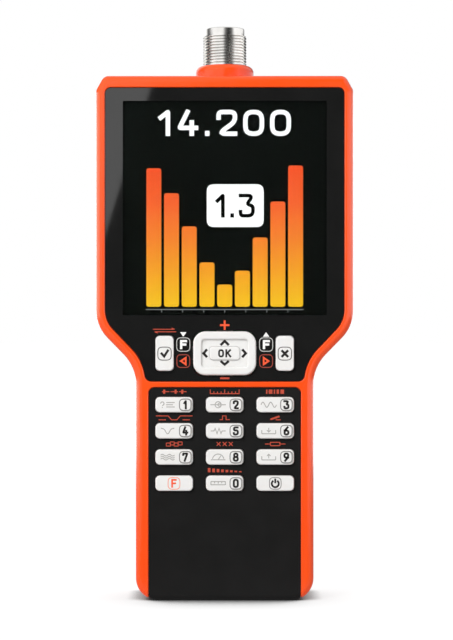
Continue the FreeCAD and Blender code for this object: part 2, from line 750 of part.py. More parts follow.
# ------------------------------------------------------------------ screws
def screw(x, z, head_r, shank_r, tip_y, seat_y, head_height):
    """A cross-head screw that enters from behind; its head sits on seat_y."""
    head = rod(x, z, head_r, seat_y, seat_y + head_height)
    shank = rod(x, z, shank_r, tip_y, seat_y)
    top = seat_y + head_height
    bar = head_r * 0.65
    slot_deep = head_height * 0.5
    across = block(x - bar, x + bar, top - slot_deep, top + 1, z - CROSS_HALF, z + CROSS_HALF)
    upright = block(x - CROSS_HALF, x + CROSS_HALF, top - slot_deep, top + 1, z - bar, z + bar)
    return join(head, [shank]).cut([across, upright])


def case_screws():
    screws = [screw(x, z, SCREW_HEAD_R, SCREW_R, SCREW_TIP, COUNTERBORE_FLOOR, SCREW_HEAD_TALL)
              for x, z in CASE_SCREWS]
    return Part.makeCompound(screws)


def board_screws():
    screws = [screw(x, z, BOARD_SCREW_HEAD_R, BOARD_SCREW_R, BOARD_SCREW_TIP, BOARD_BACK,
                    BOARD_SCREW_HEAD_TALL) for x, z in BOARD_SCREWS]
    return Part.makeCompound(screws)


def threaded_inserts():
    inserts = []
    for x, z in CASE_SCREWS:
        sleeve = rod(x, z, INSERT_R, INSERT_DEPTH, -SEAM - 0.2)
        inserts.append(sleeve.cut(rod(x, z, INSERT_BORE_R, INSERT_DEPTH - 1, 1)))
    return Part.makeCompound(inserts)


# ------------------------------------------------------------------ coaxial socket
def revolve(points):
    """A solid of revolution about the Z axis from (radius, z) points."""
    corners = [Vector(radius, 0, z) for radius, z in points]
    outline = Part.makePolygon(corners + [corners[0]])
    return Part.Face(outline).revolve(Vector(0, 0, 0), Vector(0, 0, 1), 360)


def rf_connector_shell():
    """Barrel with a threaded outside and a square flange that the two shells clamp."""
    profile = [(BARREL_BORE_R, BARREL_LOW), (TAIL_R, BARREL_LOW), (TAIL_R, FLANGE_LOW),
               (BARREL_R, FLANGE_LOW), (BARREL_R, THREAD_START - 0.05)]
    flank = (THREAD_PITCH - CREST_FLAT - ROOT_FLAT) / 2
    for i in range(THREAD_COUNT):
        start = THREAD_START + i * THREAD_PITCH
        profile.append((THREAD_ROOT_R, start))
        profile.append((THREAD_CREST_R, start + flank))
        profile.append((THREAD_CREST_R, start + flank + CREST_FLAT))
        profile.append((THREAD_ROOT_R, start + 2 * flank + CREST_FLAT))
    profile += [(THREAD_ROOT_R, LEAD_RING_Z), (LEAD_RING_R, LEAD_RING_Z), (LEAD_RING_R, SOCKET_TOP - 0.35),
                (LEAD_RING_R - 0.35, SOCKET_TOP), (BARREL_BORE_R, SOCKET_TOP)]
    barrel = revolve(profile)
    flange = block(-FLANGE_HALF, FLANGE_HALF, -FLANGE_HALF, FLANGE_HALF, FLANGE_LOW, FLANGE_HIGH)
    flange = flange.cut(post((BARREL_BORE_R + BARREL_R) / 2, FLANGE_LOW - 1, FLANGE_HIGH + 1))
    return join(barrel, [flange])


def rf_insulator():
    low = BARREL_LOW + 1.0
    high = CONTACT_TOP - 0.4
    profile = [(CONTACT_R + 0.05, low), (BARREL_BORE_R - 0.03, low), (BARREL_BORE_R - 0.03, high),
               (CONTACT_R + 0.05, high)]
    return revolve(profile)


def rf_center_contact():
    contact = post(CONTACT_R, BARREL_LOW, CONTACT_TOP)
    contact = contact.cut(post(CONTACT_BORE_R, CONTACT_TOP - CONTACT_DEPTH, CONTACT_TOP + 1))
    return join(contact, [post(CONTACT_PIN_R, CONTACT_PIN_LOW, BARREL_LOW)])


def rf_lead():
    """A stiff wire from the centre contact down and forward to the back of the board."""
    bend_r = 3.0
    slant = bend_r * (1 - math.sqrt(0.5))
    path = Part.Wire([
        Part.LineSegment(Vector(0, 0, CONTACT_PIN_LOW), Vector(0, 0, LEAD_Z + bend_r)).toShape(),
        Part.Arc(Vector(0, 0, LEAD_Z + bend_r), Vector(0, -slant, LEAD_Z + slant),
                 Vector(0, -bend_r, LEAD_Z)).toShape(),
        Part.LineSegment(Vector(0, -bend_r, LEAD_Z), Vector(0, BOARD_BACK, LEAD_Z)).toShape(),
    ])
    circle = Part.Wire([Part.makeCircle(LEAD_R, Vector(0, 0, CONTACT_PIN_LOW), Vector(0, 0, 1))])
    return path.makePipeShell([circle], True, False)


# ------------------------------------------------------------------ batteries
def battery_tray():
    """An open holder behind the board; the door's tabs and catch reach through its walls."""
    tray = block(-TRAY_HALF, TRAY_HALF, TRAY_BACK, TRAY_RIM, TRAY_LOW, TRAY_HIGH)
    inner_half = TRAY_HALF - TRAY_WALL
    inner_low = TRAY_LOW + TRAY_WALL
    inner_high = TRAY_HIGH - TRAY_WALL
    tools = [block(-inner_half, inner_half, TRAY_FLOOR, TRAY_RIM + 1, inner_low, inner_high)]

    # Notches in the rim for the door's two tabs and its catch
    notch_front = TAB_FRONT - 0.8
    for side in (-1, 1):
        near, far = sorted((side * (TAB_NEAR - TAB_ROOM), side * (TAB_FAR + TAB_ROOM)))
        tools.append(block(near, far, notch_front, TRAY_RIM + 1, TRAY_LOW - 1, inner_low + 0.1))
    notch_half = CATCH_HALF + TAB_ROOM
    tools.append(block(-notch_half, notch_half, notch_front, TRAY_RIM + 1, inner_high - 0.1, TRAY_HIGH + 1))

    # Slots in the floor for the two tails to the board
    minus_x = -CELL_PITCH
    plus_x = CELL_PITCH
    floor_front = TRAY_BACK - 1
    floor_back = TRAY_FLOOR + 1
    tools.append(block(minus_x - TAIL_SLOT_HALF, minus_x + TAIL_SLOT_HALF, floor_front, floor_back,
                       inner_low, inner_low + TAIL_SLOT))
    tools.append(block(plus_x - TAIL_SLOT_HALF, plus_x + TAIL_SLOT_HALF, floor_front, floor_back,
                       inner_high - TAIL_SLOT, inner_high))
    return tray.cut(tools)


def cell_signs():
    """Each cell as (x, sign); the sign is +1 where its positive end is up."""
    return [(-CELL_PITCH, 1), (0.0, -1), (CELL_PITCH, 1)]


def battery_cells():
    cells = []
    for x, sign in cell_signs():
        tip = PLATE_HIGH if sign > 0 else PLATE_LOW
        shoulder = tip - sign * CELL_NUB
        foot = shoulder - sign * CELL_LENGTH
        can = post(CELL_R, min(foot, shoulder), max(foot, shoulder), x, CELL_Y)
        nub = post(CELL_NUB_R, min(tip, shoulder), max(tip, shoulder), x, CELL_Y)
        cells.append(join(can.makeFillet(CELL_EDGE_R, can.Edges[0:1]), [nub]))
    return Part.makeCompound(cells)


def spring(x, z_low, z_high):
    """A coil spring between two flat faces."""
    rise = z_high - z_low - 2 * SPRING_WIRE_R
    path = Part.makeHelix(rise / SPRING_TURNS, rise, SPRING_R)
    path.translate(Vector(x, CELL_Y, z_low + SPRING_WIRE_R))
    start = Vector(x + SPRING_R, CELL_Y, z_low + SPRING_WIRE_R)
    circle = Part.Wire([Part.makeCircle(SPRING_WIRE_R, start, Vector(0, 1, 0))])
    return Part.Wire(path).makePipeShell([circle], True, True)


def battery_springs():
    springs = []
    for x, sign in cell_signs():
        length = CELL_LENGTH + CELL_NUB
        if sign > 0:
            springs.append(spring(x, PLATE_LOW, PLATE_HIGH - length))
        else:
            springs.append(spring(x, PLATE_LOW + length, PLATE_HIGH))
    return Part.makeCompound(springs)


def battery_contacts():
    """End plates that join the cells in series, with a tail from each end of the chain."""
    low = TRAY_FLOOR
    high = CELL_Y + PLATE_RISE
    half = PLATE_HALF
    bottom = PLATE_LOW - PLATE
    plates = [
        block(-CELL_PITCH - half, -CELL_PITCH + half, low, high, bottom, PLATE_LOW),
        block(-half, CELL_PITCH + half, low, high, bottom, PLATE_LOW),
        block(-CELL_PITCH - half, half, low, high, PLATE_HIGH, PLATE_HIGH + PLATE),
        block(CELL_PITCH - half, CELL_PITCH + half, low, high, PLATE_HIGH, PLATE_HIGH + PLATE),
    ]
    minus_tail = block(-CELL_PITCH - TAIL_HALF, -CELL_PITCH + TAIL_HALF, BOARD_BACK, low, bottom, PLATE_LOW)
    plus_tail = block(CELL_PITCH - TAIL_HALF, CELL_PITCH + TAIL_HALF, BOARD_BACK, low,
                      PLATE_HIGH, PLATE_HIGH + PLATE)
    plates[0] = join(plates[0], [minus_tail])
    plates[3] = join(plates[3], [plus_tail])
    return Part.makeCompound(plates)


def battery_door():
    """The door tips out on its lower edge, where two tabs hook behind the shell."""
    door_z = (DOOR_LOW + DOOR_HIGH) / 2
    cover_outline = rectangle(0, door_z, 2 * DOOR_HALF, DOOR_HIGH - DOOR_LOW, DOOR_CORNER_R)
    cover = plate(cover_outline, DOOR_INNER, BACK)
    plug_z = (PLUG_LOW + PLUG_HIGH) / 2
    plug_height = PLUG_HIGH - PLUG_LOW
    plug = plate(rectangle(0, plug_z, 2 * PLUG_HALF, plug_height, PLUG_CORNER_R), PLUG_INNER, DOOR_INNER)
    parts = [plug]
    for side in (-1, 1):
        near, far = sorted((side * TAB_NEAR, side * TAB_FAR))
        parts.append(block(near, far, TAB_FRONT, TAB_FRONT + TAB_DEPTH, TAB_LOW, PLUG_LOW + TAB_REACH))
        parts.append(block(near, far, TAB_FRONT, PLUG_INNER + 0.2, PLUG_LOW + 1, PLUG_LOW + TAB_REACH))
    door = join(cover, parts)
    pocket = rectangle(0, plug_z, 2 * (PLUG_HALF - POCKET_SIDE), plug_height - 2 * POCKET_END, PLUG_CORNER_R)
    tools = [plate(pocket, PLUG_INNER - 1, DOOR_INNER)]
    for i in range(GROOVE_COUNT):
        z = GROOVE_Z + GROOVE_PITCH * i
        tools.append(block(-GROOVE_HALF, GROOVE_HALF, BACK - GROOVE_DEPTH, BACK + 1, z, z + GROOVE_WIDTH))
    return door.cut(tools)


def battery_door_catch():
    """The springy tongue on the door's top edge that snaps behind the shell."""
    return block(-CATCH_HALF, CATCH_HALF, CATCH_FRONT, CATCH_FRONT + CATCH_THICK, PLUG_HIGH, CATCH_HIGH)


# ------------------------------------------------------------------ keys
def key_cap(x, z, width, height):
    """A key with a soft top edge, a flange behind the wall and a plunger for its dome."""
    cap = plate(rectangle(x, z, width, height, KEY_R), KEY_TOP, FLANGE_FRONT)
    cap = soften(cap, KEY_EDGE_R, KEY_TOP)
    flange = rectangle(x, z, width + 2 * FLANGE_LIP, height + 2 * FLANGE_LIP, KEY_R)
    flange = plate(flange, FLANGE_FRONT, FLANGE_BACK)
    return join(cap, [flange, rod(x, z, PLUNGER_R, FLANGE_BACK, PLUNGER_END)])


def nav_rocker():
    """The four-way pad: a dished cap with a hole for the centre button."""
    cap = plate(rectangle(0, NAV_Z, NAV_WIDTH, NAV_HEIGHT, NAV_R), KEY_TOP, NAV_BACK)
    cap = soften(cap, NAV_EDGE_R, KEY_TOP)
    cap = cap.cut(plate(rectangle(0, NAV_Z, DISH_WIDTH, DISH_HEIGHT, DISH_R), KEY_TOP - 1, DISH_FLOOR))
    around = plate(rectangle(0, NAV_Z, DISH_WIDTH + 0.1, DISH_HEIGHT + 0.1, DISH_R), KEY_TOP - 1, DISH_FLOOR)
    rim = [edge for edge in edges_at(cap, KEY_TOP) if around.isInside(edge.CenterOfMass, 0.001, True)]
    cap = cap.makeFillet(RIM_R, rim)
    tab_front = NAV_BACK - TAB_THICK
    reach_x = NAV_WIDTH / 2 + FLANGE_LIP
    reach_z = NAV_HEIGHT / 2 + FLANGE_LIP
    parts = [
        block(-TAB_HALF_UP, TAB_HALF_UP, tab_front, NAV_BACK, NAV_Z - reach_z, NAV_Z + reach_z),
        block(-reach_x, reach_x, tab_front, NAV_BACK, NAV_Z - TAB_HALF_SIDE, NAV_Z + TAB_HALF_SIDE),
        rod(-SIDE_DOME_X, NAV_Z, NUB_R, NAV_BACK, NAV_BACK + NUB_TALL),
        rod(SIDE_DOME_X, NAV_Z, NUB_R, NAV_BACK, NAV_BACK + NUB_TALL),
    ]
    gap = 2 * KEY_CLEARANCE
    hole = rectangle(0, NAV_Z, OK_WIDTH + gap, OK_HEIGHT + gap, OK_HOLE_R)
    room = 2 * OK_POCKET_LIP
    pocket = rectangle(0, NAV_Z, OK_WIDTH + room, OK_HEIGHT + room, OK_HOLE_R)
    tools = [plate(hole, KEY_TOP - 1, POCKET_FRONT + 1), plate(pocket, POCKET_FRONT, NAV_BACK + 1)]
    return join(cap, parts).cut(tools)


def ok_button():
    cap = plate(rectangle(0, NAV_Z, OK_WIDTH, OK_HEIGHT, OK_CORNER_R), OK_TOP, OK_FLANGE_FRONT)
    cap = soften(cap, KEY_EDGE_R, OK_TOP)
    lip = 2 * OK_FLANGE_LIP
    flange = rectangle(0, NAV_Z, OK_WIDTH + lip, OK_HEIGHT + lip, OK_CORNER_R)
    flange = plate(flange, OK_FLANGE_FRONT, OK_FLANGE_BACK)
    return join(cap, [flange, rod(0, NAV_Z, OK_PLUNGER_R, OK_FLANGE_BACK, OK_PLUNGER_END)])


def nav_rubber_boss():
    """The rubber bar that the pad rocks on, above the up and down domes."""
    bar = plate(rectangle(0, NAV_Z, BOSS_WIDTH, BOSS_HEIGHT, 1.5), BOSS_FRONT, BOSS_BACK)
    return bar.cut(rod(0, NAV_Z, BOSS_HOLE_R, BOSS_FRONT - 1, BOSS_BACK + 1))


# ------------------------------------------------------------------ output
def save(node, shape):
    volume = sum(solid.Volume for solid in shape.Solids)
    print(f"{node:22s} solids {len(shape.Solids):2d}  volume {volume:9.1f}  valid {shape.isValid()}")
    solids = shape.Solids
    result = solids[0] if len(solids) == 1 else Part.makeCompound(solids)
    result.exportStep(f"parts/{node}.step")


PIECES = [
    front_shell, rear_shell, upper_face_panel, lower_face_panel, display_window, case_gasket,
    lcd_frame, lcd_glass, lcd_gasket, lcd_ribbon, ribbon_connector,
    main_board, rf_shield_can, board_chips, snap_domes, keypad_mat, usb_receptacle, buzzer,
    case_screws, board_screws, threaded_inserts,
    rf_connector_shell, rf_insulator, rf_center_contact, rf_lead,
    battery_tray, battery_cells, battery_springs, battery_contacts, battery_door, battery_door_catch,
    nav_rocker, ok_button, nav_rubber_boss,
]

os.makedirs("parts", exist_ok=True)
for piece in PIECES:
    save(piece.__name__, piece())
for name, x, z, width, height in key_places():
    save(name, key_cap(x, z, width, height))
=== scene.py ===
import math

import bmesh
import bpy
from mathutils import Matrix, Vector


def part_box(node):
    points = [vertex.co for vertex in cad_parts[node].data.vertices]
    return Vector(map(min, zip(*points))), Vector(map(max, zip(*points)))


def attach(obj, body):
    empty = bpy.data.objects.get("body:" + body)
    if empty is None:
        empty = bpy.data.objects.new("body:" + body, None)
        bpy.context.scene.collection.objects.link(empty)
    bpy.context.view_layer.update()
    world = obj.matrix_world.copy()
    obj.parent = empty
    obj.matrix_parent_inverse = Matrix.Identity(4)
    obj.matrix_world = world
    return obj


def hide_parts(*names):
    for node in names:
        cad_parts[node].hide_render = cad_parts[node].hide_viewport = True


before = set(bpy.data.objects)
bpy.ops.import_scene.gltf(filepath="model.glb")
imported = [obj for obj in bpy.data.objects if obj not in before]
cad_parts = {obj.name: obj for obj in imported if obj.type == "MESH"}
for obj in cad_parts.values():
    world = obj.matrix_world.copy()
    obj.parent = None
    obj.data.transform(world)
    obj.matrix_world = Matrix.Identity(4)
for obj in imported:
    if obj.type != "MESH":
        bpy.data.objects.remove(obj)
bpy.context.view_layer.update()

# %% [markdown]
# A hand-held antenna analyzer: an orange case with a wide head and a narrower grip, black
# face panels, a display, white keys and a threaded socket on top. The solids of the
# engineering model are already in the scene, each under its own name. We keep them where
# their form is right and give them real finishes, and we add what a solid model leaves
# out: the printed legends, the lit picture and a true helical thread.

MM = 0.001
# heights of the faces in mm; forward is negative
PANEL_Y = -15.7      # printed face of the black panels
KEY_Y = -17.0        # top of the white keys
OK_Y = -16.9         # top of the centre button
GLASS_Y = -14.0      # front of the display glass
NAV_Z = 89.2         # middle of the navigation pad

# %% [markdown]
# The camera comes first, because every later choice is judged through it. It stands level
# in front of the keys, a little over half way up, about three quarters of a metre away. A
# long lens at that distance keeps the sides nearly parallel but still shows the socket's
# round rim from slightly below.

# %% Camera
def in_scene(name, data):
    """A new object for a mesh, a lamp or a camera."""
    thing = bpy.data.objects.new(name, data)
    bpy.context.collection.objects.link(thing)
    return thing


camera_data = bpy.data.cameras.new("bench_camera")
camera_data.sensor_width = 36.0
camera_data.lens = 117.1
camera = in_scene("bench_camera", camera_data)
camera.location = (0.00065, -0.7662, 0.1012)
camera.rotation_euler = (math.radians(90), 0, 0)
bpy.context.scene.camera = camera
bpy.context.scene.view_settings.view_transform = "Standard"
print("camera", tuple(round(v, 4) for v in camera.location))

# %% [markdown]
# The floor, the room and every finish are small graphs of shader nodes. One helper adds a
# node, and fills each input with a value or with another node's output, so a graph reads
# from its source to its end. Another makes a colour ramp, and the last one measures how
# open the space beside a point is.

# %% Helpers for shader nodes
def empty_graph(owner):
    owner.use_nodes = True
    owner.node_tree.nodes.clear()


def add_node(owner, kind, inputs=None, output=0, **settings):
    """Adds a node to a material or world and gives one of its outputs.

    Each input takes a value or the output of another node."""
    node = owner.node_tree.nodes.new("ShaderNode" + kind)
    for name, value in settings.items():
        setattr(node, name, value)
    for name, value in (inputs or {}).items():
        socket = node.inputs[name]
        if isinstance(value, bpy.types.NodeSocket):
            owner.node_tree.links.new(value, socket)
        else:
            socket.default_value = (*value, 1) if socket.type == "RGBA" else value
    return node.outputs[output] if node.outputs else None


def ramp_colour(owner, field, stops):
    """A colour ramp along a field. Stops pair a position with a colour or a grey level."""
    ramp = add_node(owner, "ValToRGB", {"Fac": field})
    elements = ramp.node.color_ramp.elements
    for index, (position, colour) in enumerate(stops):
        stop = elements[index] if index < 2 else elements.new(0.999)
        stop.position = position
        stop.color = (*colour, 1) if isinstance(colour, tuple) else (colour, colour, colour, 1)
    return ramp


def openness(owner, lean, reach, samples, only_local=False):
    """1 where nothing stands within reach on the side that `lean` points to, less by a wall."""
    direction = add_node(owner, "CombineXYZ", dict(zip("XYZ", lean)))
    return add_node(owner, "AmbientOcclusion", {"Distance": reach, "Normal": direction}, "AO",
                    samples=samples, only_local=only_local)


print("node helpers are ready")

# %% [markdown]
# The analyzer stands on a plain white sheet. A wide plane is enough, as the horizon melts
# into a white world. The lamps' shadow falls on it as on any sheet. For the camera the
# sheet also glows, so that it stays white, and the glow is dimmed where the case stands
# close, which paints a contact shadow. An ambient occlusion node measures how close. It
# leans back, because the light comes from the front and above and the painted shade in
# front of the foot is deeper than the one beside it. Two weaker ones lean left and right,
# for a narrow painted dark line along the sides of the foot.

# %% Floor
def staged_mesh(name, corners, faces=None):
    """A mesh of the studio, which isn't part of the analyzer. Without faces it is one polygon."""
    mesh = bpy.data.meshes.new(name)
    mesh.from_pydata(corners, [], faces or [tuple(range(len(corners)))])
    piece = in_scene(name, mesh)
    return piece


FRONT_PAINTED_SHADE = ((0.25, 0.02), (0.318, 0.11), (0.363, 0.29), (0.414, 0.54), (0.469, 0.64),
               (0.527, 0.73), (0.588, 0.79), (0.72, 0.88), (0.86, 0.93), (1.0, 0.98))
SIDE_PAINTED_SHADE = ((0.37, 0.38), (0.41, 0.60), (0.545, 0.82), (0.66, 0.97), (0.72, 1.0))
FRONT_REACH, SIDE_REACH = 0.03, 0.008

floor = staged_mesh("paper_floor", [(-6, -4, 0), (6, -4, 0), (6, 8, 0), (-6, 8, 0)])
paper = bpy.data.materials.new("white_paper")
empty_graph(paper)
# painted shadow: these ramps dim the sheet's glow for the camera near the case
level = ramp_colour(paper, openness(paper, (0, 0.7071, 0.7071), FRONT_REACH, 16), FRONT_PAINTED_SHADE)
for side in (-1, 1):
    gap = openness(paper, (0.94 * side, 0, 0.34), SIDE_REACH, 24)
    level = add_node(paper, "Math", {0: level, 1: ramp_colour(paper, gap, SIDE_PAINTED_SHADE)},
                     operation="MULTIPLY")
lit_sheet = add_node(paper, "BsdfDiffuse", {"Color": (0.82, 0.82, 0.82)})
dim_sheet = add_node(paper, "BsdfDiffuse", {"Color": (0.10, 0.10, 0.10)})
glow = add_node(paper, "Emission", {"Color": level})
glow_with_painted_shadow = add_node(paper, "AddShader", {0: dim_sheet, 1: glow})
to_camera = add_node(paper, "LightPath", output="Is Camera Ray")
sheet = add_node(paper, "MixShader", {0: to_camera, 1: lit_sheet, 2: glow_with_painted_shadow})
add_node(paper, "OutputMaterial", {"Surface": sheet})
floor.data.materials.append(paper)
print("floor is", len(floor.data.polygons), "face")

# %% [markdown]
# A white room gives soft, even light from everywhere. Camera, mirror and glass rays see
# it at full white, and matt surfaces get a little less, which leaves room for the lamps.

# %% World
ROOM_LIGHT = 0.33
world = bpy.data.worlds.new("white_room")
bpy.context.scene.world = world
empty_graph(world)
rays = add_node(world, "LightPath").node.outputs
at_full_white = rays["Is Camera Ray"]
for ray in ("Is Glossy Ray", "Is Transmission Ray"):
    at_full_white = add_node(world, "Math", {0: at_full_white, 1: rays[ray]}, operation="MAXIMUM")
dim, full = [add_node(world, "Background", {"Color": (1, 1, 1), "Strength": strength})
             for strength in (ROOM_LIGHT, 1.0)]
room = add_node(world, "MixShader", {0: at_full_white, 1: dim, 2: full})
add_node(world, "OutputWorld", {"Surface": room})
print("room light", ROOM_LIGHT)

# %% [markdown]
# Two large soft lamps shape the case: the main one high on the left, a weaker one on the
# right. They are hidden from mirror rays, because what the gloss shows is set by cards,
# as a product photographer does it.

# %% Lamps
def soft_lamp(name, place, size, power):
    """A square soft box that shines at the middle of the analyzer."""
    data = bpy.data.lights.new(name, "AREA")
    data.shape = "RECTANGLE"
    data.size = data.size_y = size
    data.energy = power
    lamp = in_scene(name, data)
    lamp.location = place
    lamp.rotation_euler = (Vector((0, 0, 0.1)) - Vector(place)).to_track_quat("-Z", "Y").to_euler()
    lamp.visible_glossy = False


soft_lamp("main_lamp", (-0.7, -0.95, 0.95), 0.5, 17.0)
soft_lamp("right_lamp", (0.95, -0.75, 0.5), 0.6, 2.0)

# %% [markdown]
# Glossy plastic and bright metal look like what they mirror. Bright cards low on the left
# and right give the pale sheen on the rounded edges of the case. Only mirror rays see
# them. Each is a bent strip on a circle around the analyzer, from one bearing to another.

# %% Cards for the reflections
def only_mirrored(piece, strength, stripes=None):
    """Makes a piece glow, all white or striped by bearing, for mirror rays only."""
    material = bpy.data.materials.new(piece.name + "_card")
    empty_graph(material)
    colour = (1, 1, 1)
    if stripes:
        place = add_node(material, "TexCoord", output="Object")
        around = add_node(material, "TexGradient", {"Vector": place}, "Fac", gradient_type="RADIAL")
        colour = ramp_colour(material, around, stripes)
    glow = add_node(material, "Emission", {"Color": colour, "Strength": strength})
    add_node(material, "OutputMaterial", {"Surface": glow})
    piece.data.materials.append(material)
    for rays in ("camera", "diffuse", "transmission", "shadow"):
        setattr(piece, "visible_" + rays, False)


def bent_card(name, bearing_from, bearing_to, low, high, radius):
    """Bearings in degrees: 0 is straight in front, and positive is to the right."""
    steps = 12
    corners = []
    for i in range(steps + 1):
        bearing = math.radians(bearing_from + (bearing_to - bearing_from) * i / steps)
        x = radius * math.sin(bearing)
        y = -radius * math.cos(bearing)
        corners += [(x, y, low), (x, y, high)]
    faces = [(2 * i, 2 * i + 2, 2 * i + 3, 2 * i + 1) for i in range(steps)]
    return staged_mesh(name, corners, faces)


CARD_RADIUS, CARD_TOP = 0.7, 0.262
for name, start, end, strength in (("glow_left", -50, -165, 3.8), ("glow_right", 14, 48, 2.4),
                                   ("glow_far_right", 48, 165, 3.2)):
    only_mirrored(bent_card(name, start, end, 0.0, CARD_TOP, CARD_RADIUS), strength)
print("cards ready")

# %% [markdown]
# Bright nickel shows stripes, because it mirrors a studio with dark gaps between its soft
# boxes. Three short tubes of paper around the socket, painted in stripes by bearing, stand
# for that studio. The lowest is what the case's collar mirrors, the middle one what the
# thread mirrors, and the top one what the plain ring at the mouth mirrors.

# %% Painted tubes around the socket
TUBE_RADIUS, TUBE_GLOW = 0.15, 1.5


def painted_tube(name, low, high, stripes):
    """Stripes are pairs of a bearing from -90 to 270 degrees and a brightness."""
    stops = [((bearing + 90) / 360, level / TUBE_GLOW) for bearing, level in stripes]
    only_mirrored(bent_card(name, -180, 180, low, high, TUBE_RADIUS), TUBE_GLOW, stops)


painted_tube("collar_tube", 0.2040, 0.2120, (
    (-90, 0.6), (-82, 1.2), (-70, 1.4), (-8, 1.4), (-1, 0.8), (5, 0.3), (12, 0.1), (36, 0.1),
    (42, 0.4), (49, 1.1), (60, 1.5), (140, 1.5), (150, 1.1), (160, 0.7), (180, 0.5), (200, 1.2),
    (218, 1.2), (226, 0.6), (236, 0.2), (256, 0.2), (266, 0.45)))
painted_tube("thread_tube", 0.2120, 0.2252, (
    (-90, 0.06), (-84, 0.2), (-77, 0.7), (-68, 1.4), (-14, 1.4), (-6, 1.0), (-1, 0.45), (4, 0.24),
    (10, 0.12), (17, 0.03), (24, 0.03), (32, 0.09), (38, 0.22), (43, 0.42), (49, 0.8), (58, 1.4),
    (112, 1.4), (118, 0.8), (124, 0.25), (132, 0.04), (160, 0.05), (178, 0.5), (197, 1.4),
    (232, 1.2), (241, 0.45), (250, 0.09), (262, 0.04)))
painted_tube("ring_tube", 0.2252, 0.35, (
    (-90, 0.85), (-85, 1.3), (-75, 1.42), (-12, 1.42), (-6, 1.1), (-1, 0.63), (5, 0.32),
    (11, 0.15), (17, 0.075), (24, 0.07), (32, 0.11), (41, 0.26), (47, 0.63), (53, 1.1),
    (60, 1.42), (130, 1.42), (141, 0.7), (150, 0.25), (166, 0.2), (178, 0.7), (200, 1.42),
    (225, 1.4), (236, 0.63), (246, 0.22), (258, 0.25), (266, 0.6)))

# %% [markdown]
# The display's frame mirrors what stands behind the camera. A black card there keeps it
# dark, and a bright card in front of that one, with a slanted side, draws the sharp pale
# triangle that glossy film shows. A black cloth on the table keeps the lower half dark.

# %% Card behind the camera, with the sheen's slanted edge
def flat_card(name, corners, strength, y=None, z=None):
    """A flat card, upright at a depth y or lying at a height z. Corners give the other axes."""
    places = [(u, y, v) if z is None else (u, v, z) for u, v in corners]
    only_mirrored(staged_mesh(name, places), strength)


flat_card("black_middle", [(-0.17, 0.0), (0.10, 0.0), (0.10, 0.6), (-0.17, 0.6)], 0.06, y=-0.80)
flat_card("black_cloth", [(-0.12, -0.79), (0.12, -0.79), (0.12, -0.06), (-0.12, -0.06)], 0.08,
          z=0.0005)
flat_card("bright_left", [(-0.6, 0.125), (-0.1005, 0.125), (-0.055, 0.272), (-0.0432, 0.31),
                          (-0.0432, 0.6), (-0.6, 0.6)], 1.9, y=-0.795)
print("sheen ready")

# %% [markdown]
# Every finish starts from Blender's Principled shader. Real surfaces are never perfectly
# even, so small helpers add noise that is fixed to the piece: to its colour, to how rough
# it is, and as a fine relief.

# %% Helpers for finishes
def principled(material):
    """The inputs of the material's Principled shader."""
    return material.node_tree.nodes["Principled BSDF"].inputs


def feed(material, name, source):
    """Links an output to an input of the material's Principled shader."""
    material.node_tree.links.new(source, principled(material)[name])


def finish(name, colour, roughness, metallic=0.0, specular=0.5, more=None):
    """A new finish with one Principled shader; `more` fills in further inputs."""
    material = bpy.data.materials.new(name)
    material.use_nodes = True
    inputs = {"Base Color": (*colour, 1.0), "Roughness": roughness, "Metallic": metallic,
              "Specular IOR Level": specular, **(more or {})}
    for socket, value in inputs.items():
        principled(material)[socket].default_value = value
    return material


def on_piece(material, stretch=(1, 1, 1)):
    """Coordinates in metres that stay with the piece, stretched along its axes."""
    place = add_node(material, "TexCoord", output="Object")
    return add_node(material, "Mapping", {"Vector": place, "Scale": stretch})


def as_field(material, field):
    """The helpers below take an output, or a noise: its size in metres, detail and stretch."""
    if not isinstance(field, tuple):
        return field
    size, detail, *stretch = field
    return add_node(material, "TexNoise", {
        "Vector": on_piece(material, *stretch), "Scale": 1 / size, "Detail": detail})


def tint(material, field, first, second, low=0.35, high=0.65):
    """Base colour that runs from the first shade to the second with the field."""
    colour = ramp_colour(material, as_field(material, field), ((low, first), (high, second)))
    feed(material, "Base Color", colour)
    return colour


def polish(material, field, smooth, rough):
    """Roughness that runs between two values with the field."""
    feed(material, "Roughness", add_node(material, "MapRange", {
        "Value": as_field(material, field), "From Min": 0.3, "From Max": 0.7,
        "To Min": smooth, "To Max": rough}))


def relief(material, field, depth):
    """A fine relief of up to `depth` metres, added to any that is there already."""
    inputs = {"Strength": 1.0, "Distance": depth, "Height": as_field(material, field)}
    for link in principled(material)["Normal"].links:
        inputs["Normal"] = link.from_socket
    feed(material, "Normal", add_node(material, "Bump", inputs))


def wear(material, *nodes):
    """Puts a finish on solids of the engineering model."""
    for node in nodes:
        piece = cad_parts[node]
        piece.data.materials.clear()
        piece.data.materials.append(material)
    print(material.name, "on", len(nodes), "solids")

# %% [markdown]
# The case is moulded in a bright orange plastic with a smooth, nearly glossy skin. A
# mould leaves a faint orange-peel waviness, so the relief has two scales: slow waves of a
# few millimetres, and a very fine grain that softens the mirror image.

# %% Orange case
case_orange = finish("case_orange_moulded", (1.0, 0.082, 0.006), 0.16, specular=0.4)
tint(case_orange, (0.02, 3), (0.98, 0.078, 0.005), (1.0, 0.086, 0.007))
polish(case_orange, (0.004, 4), 0.13, 0.20)
relief(case_orange, (0.0025, 2), 0.000004)
relief(case_orange, (0.00025, 2), 0.0000012)
wear(case_orange, "front_shell", "rear_shell")

# %% [markdown]
# The two face panels are black printed film, flat and smooth. Film mirrors more sharply
# than the case, and it picks up a little haze and dust from handling.

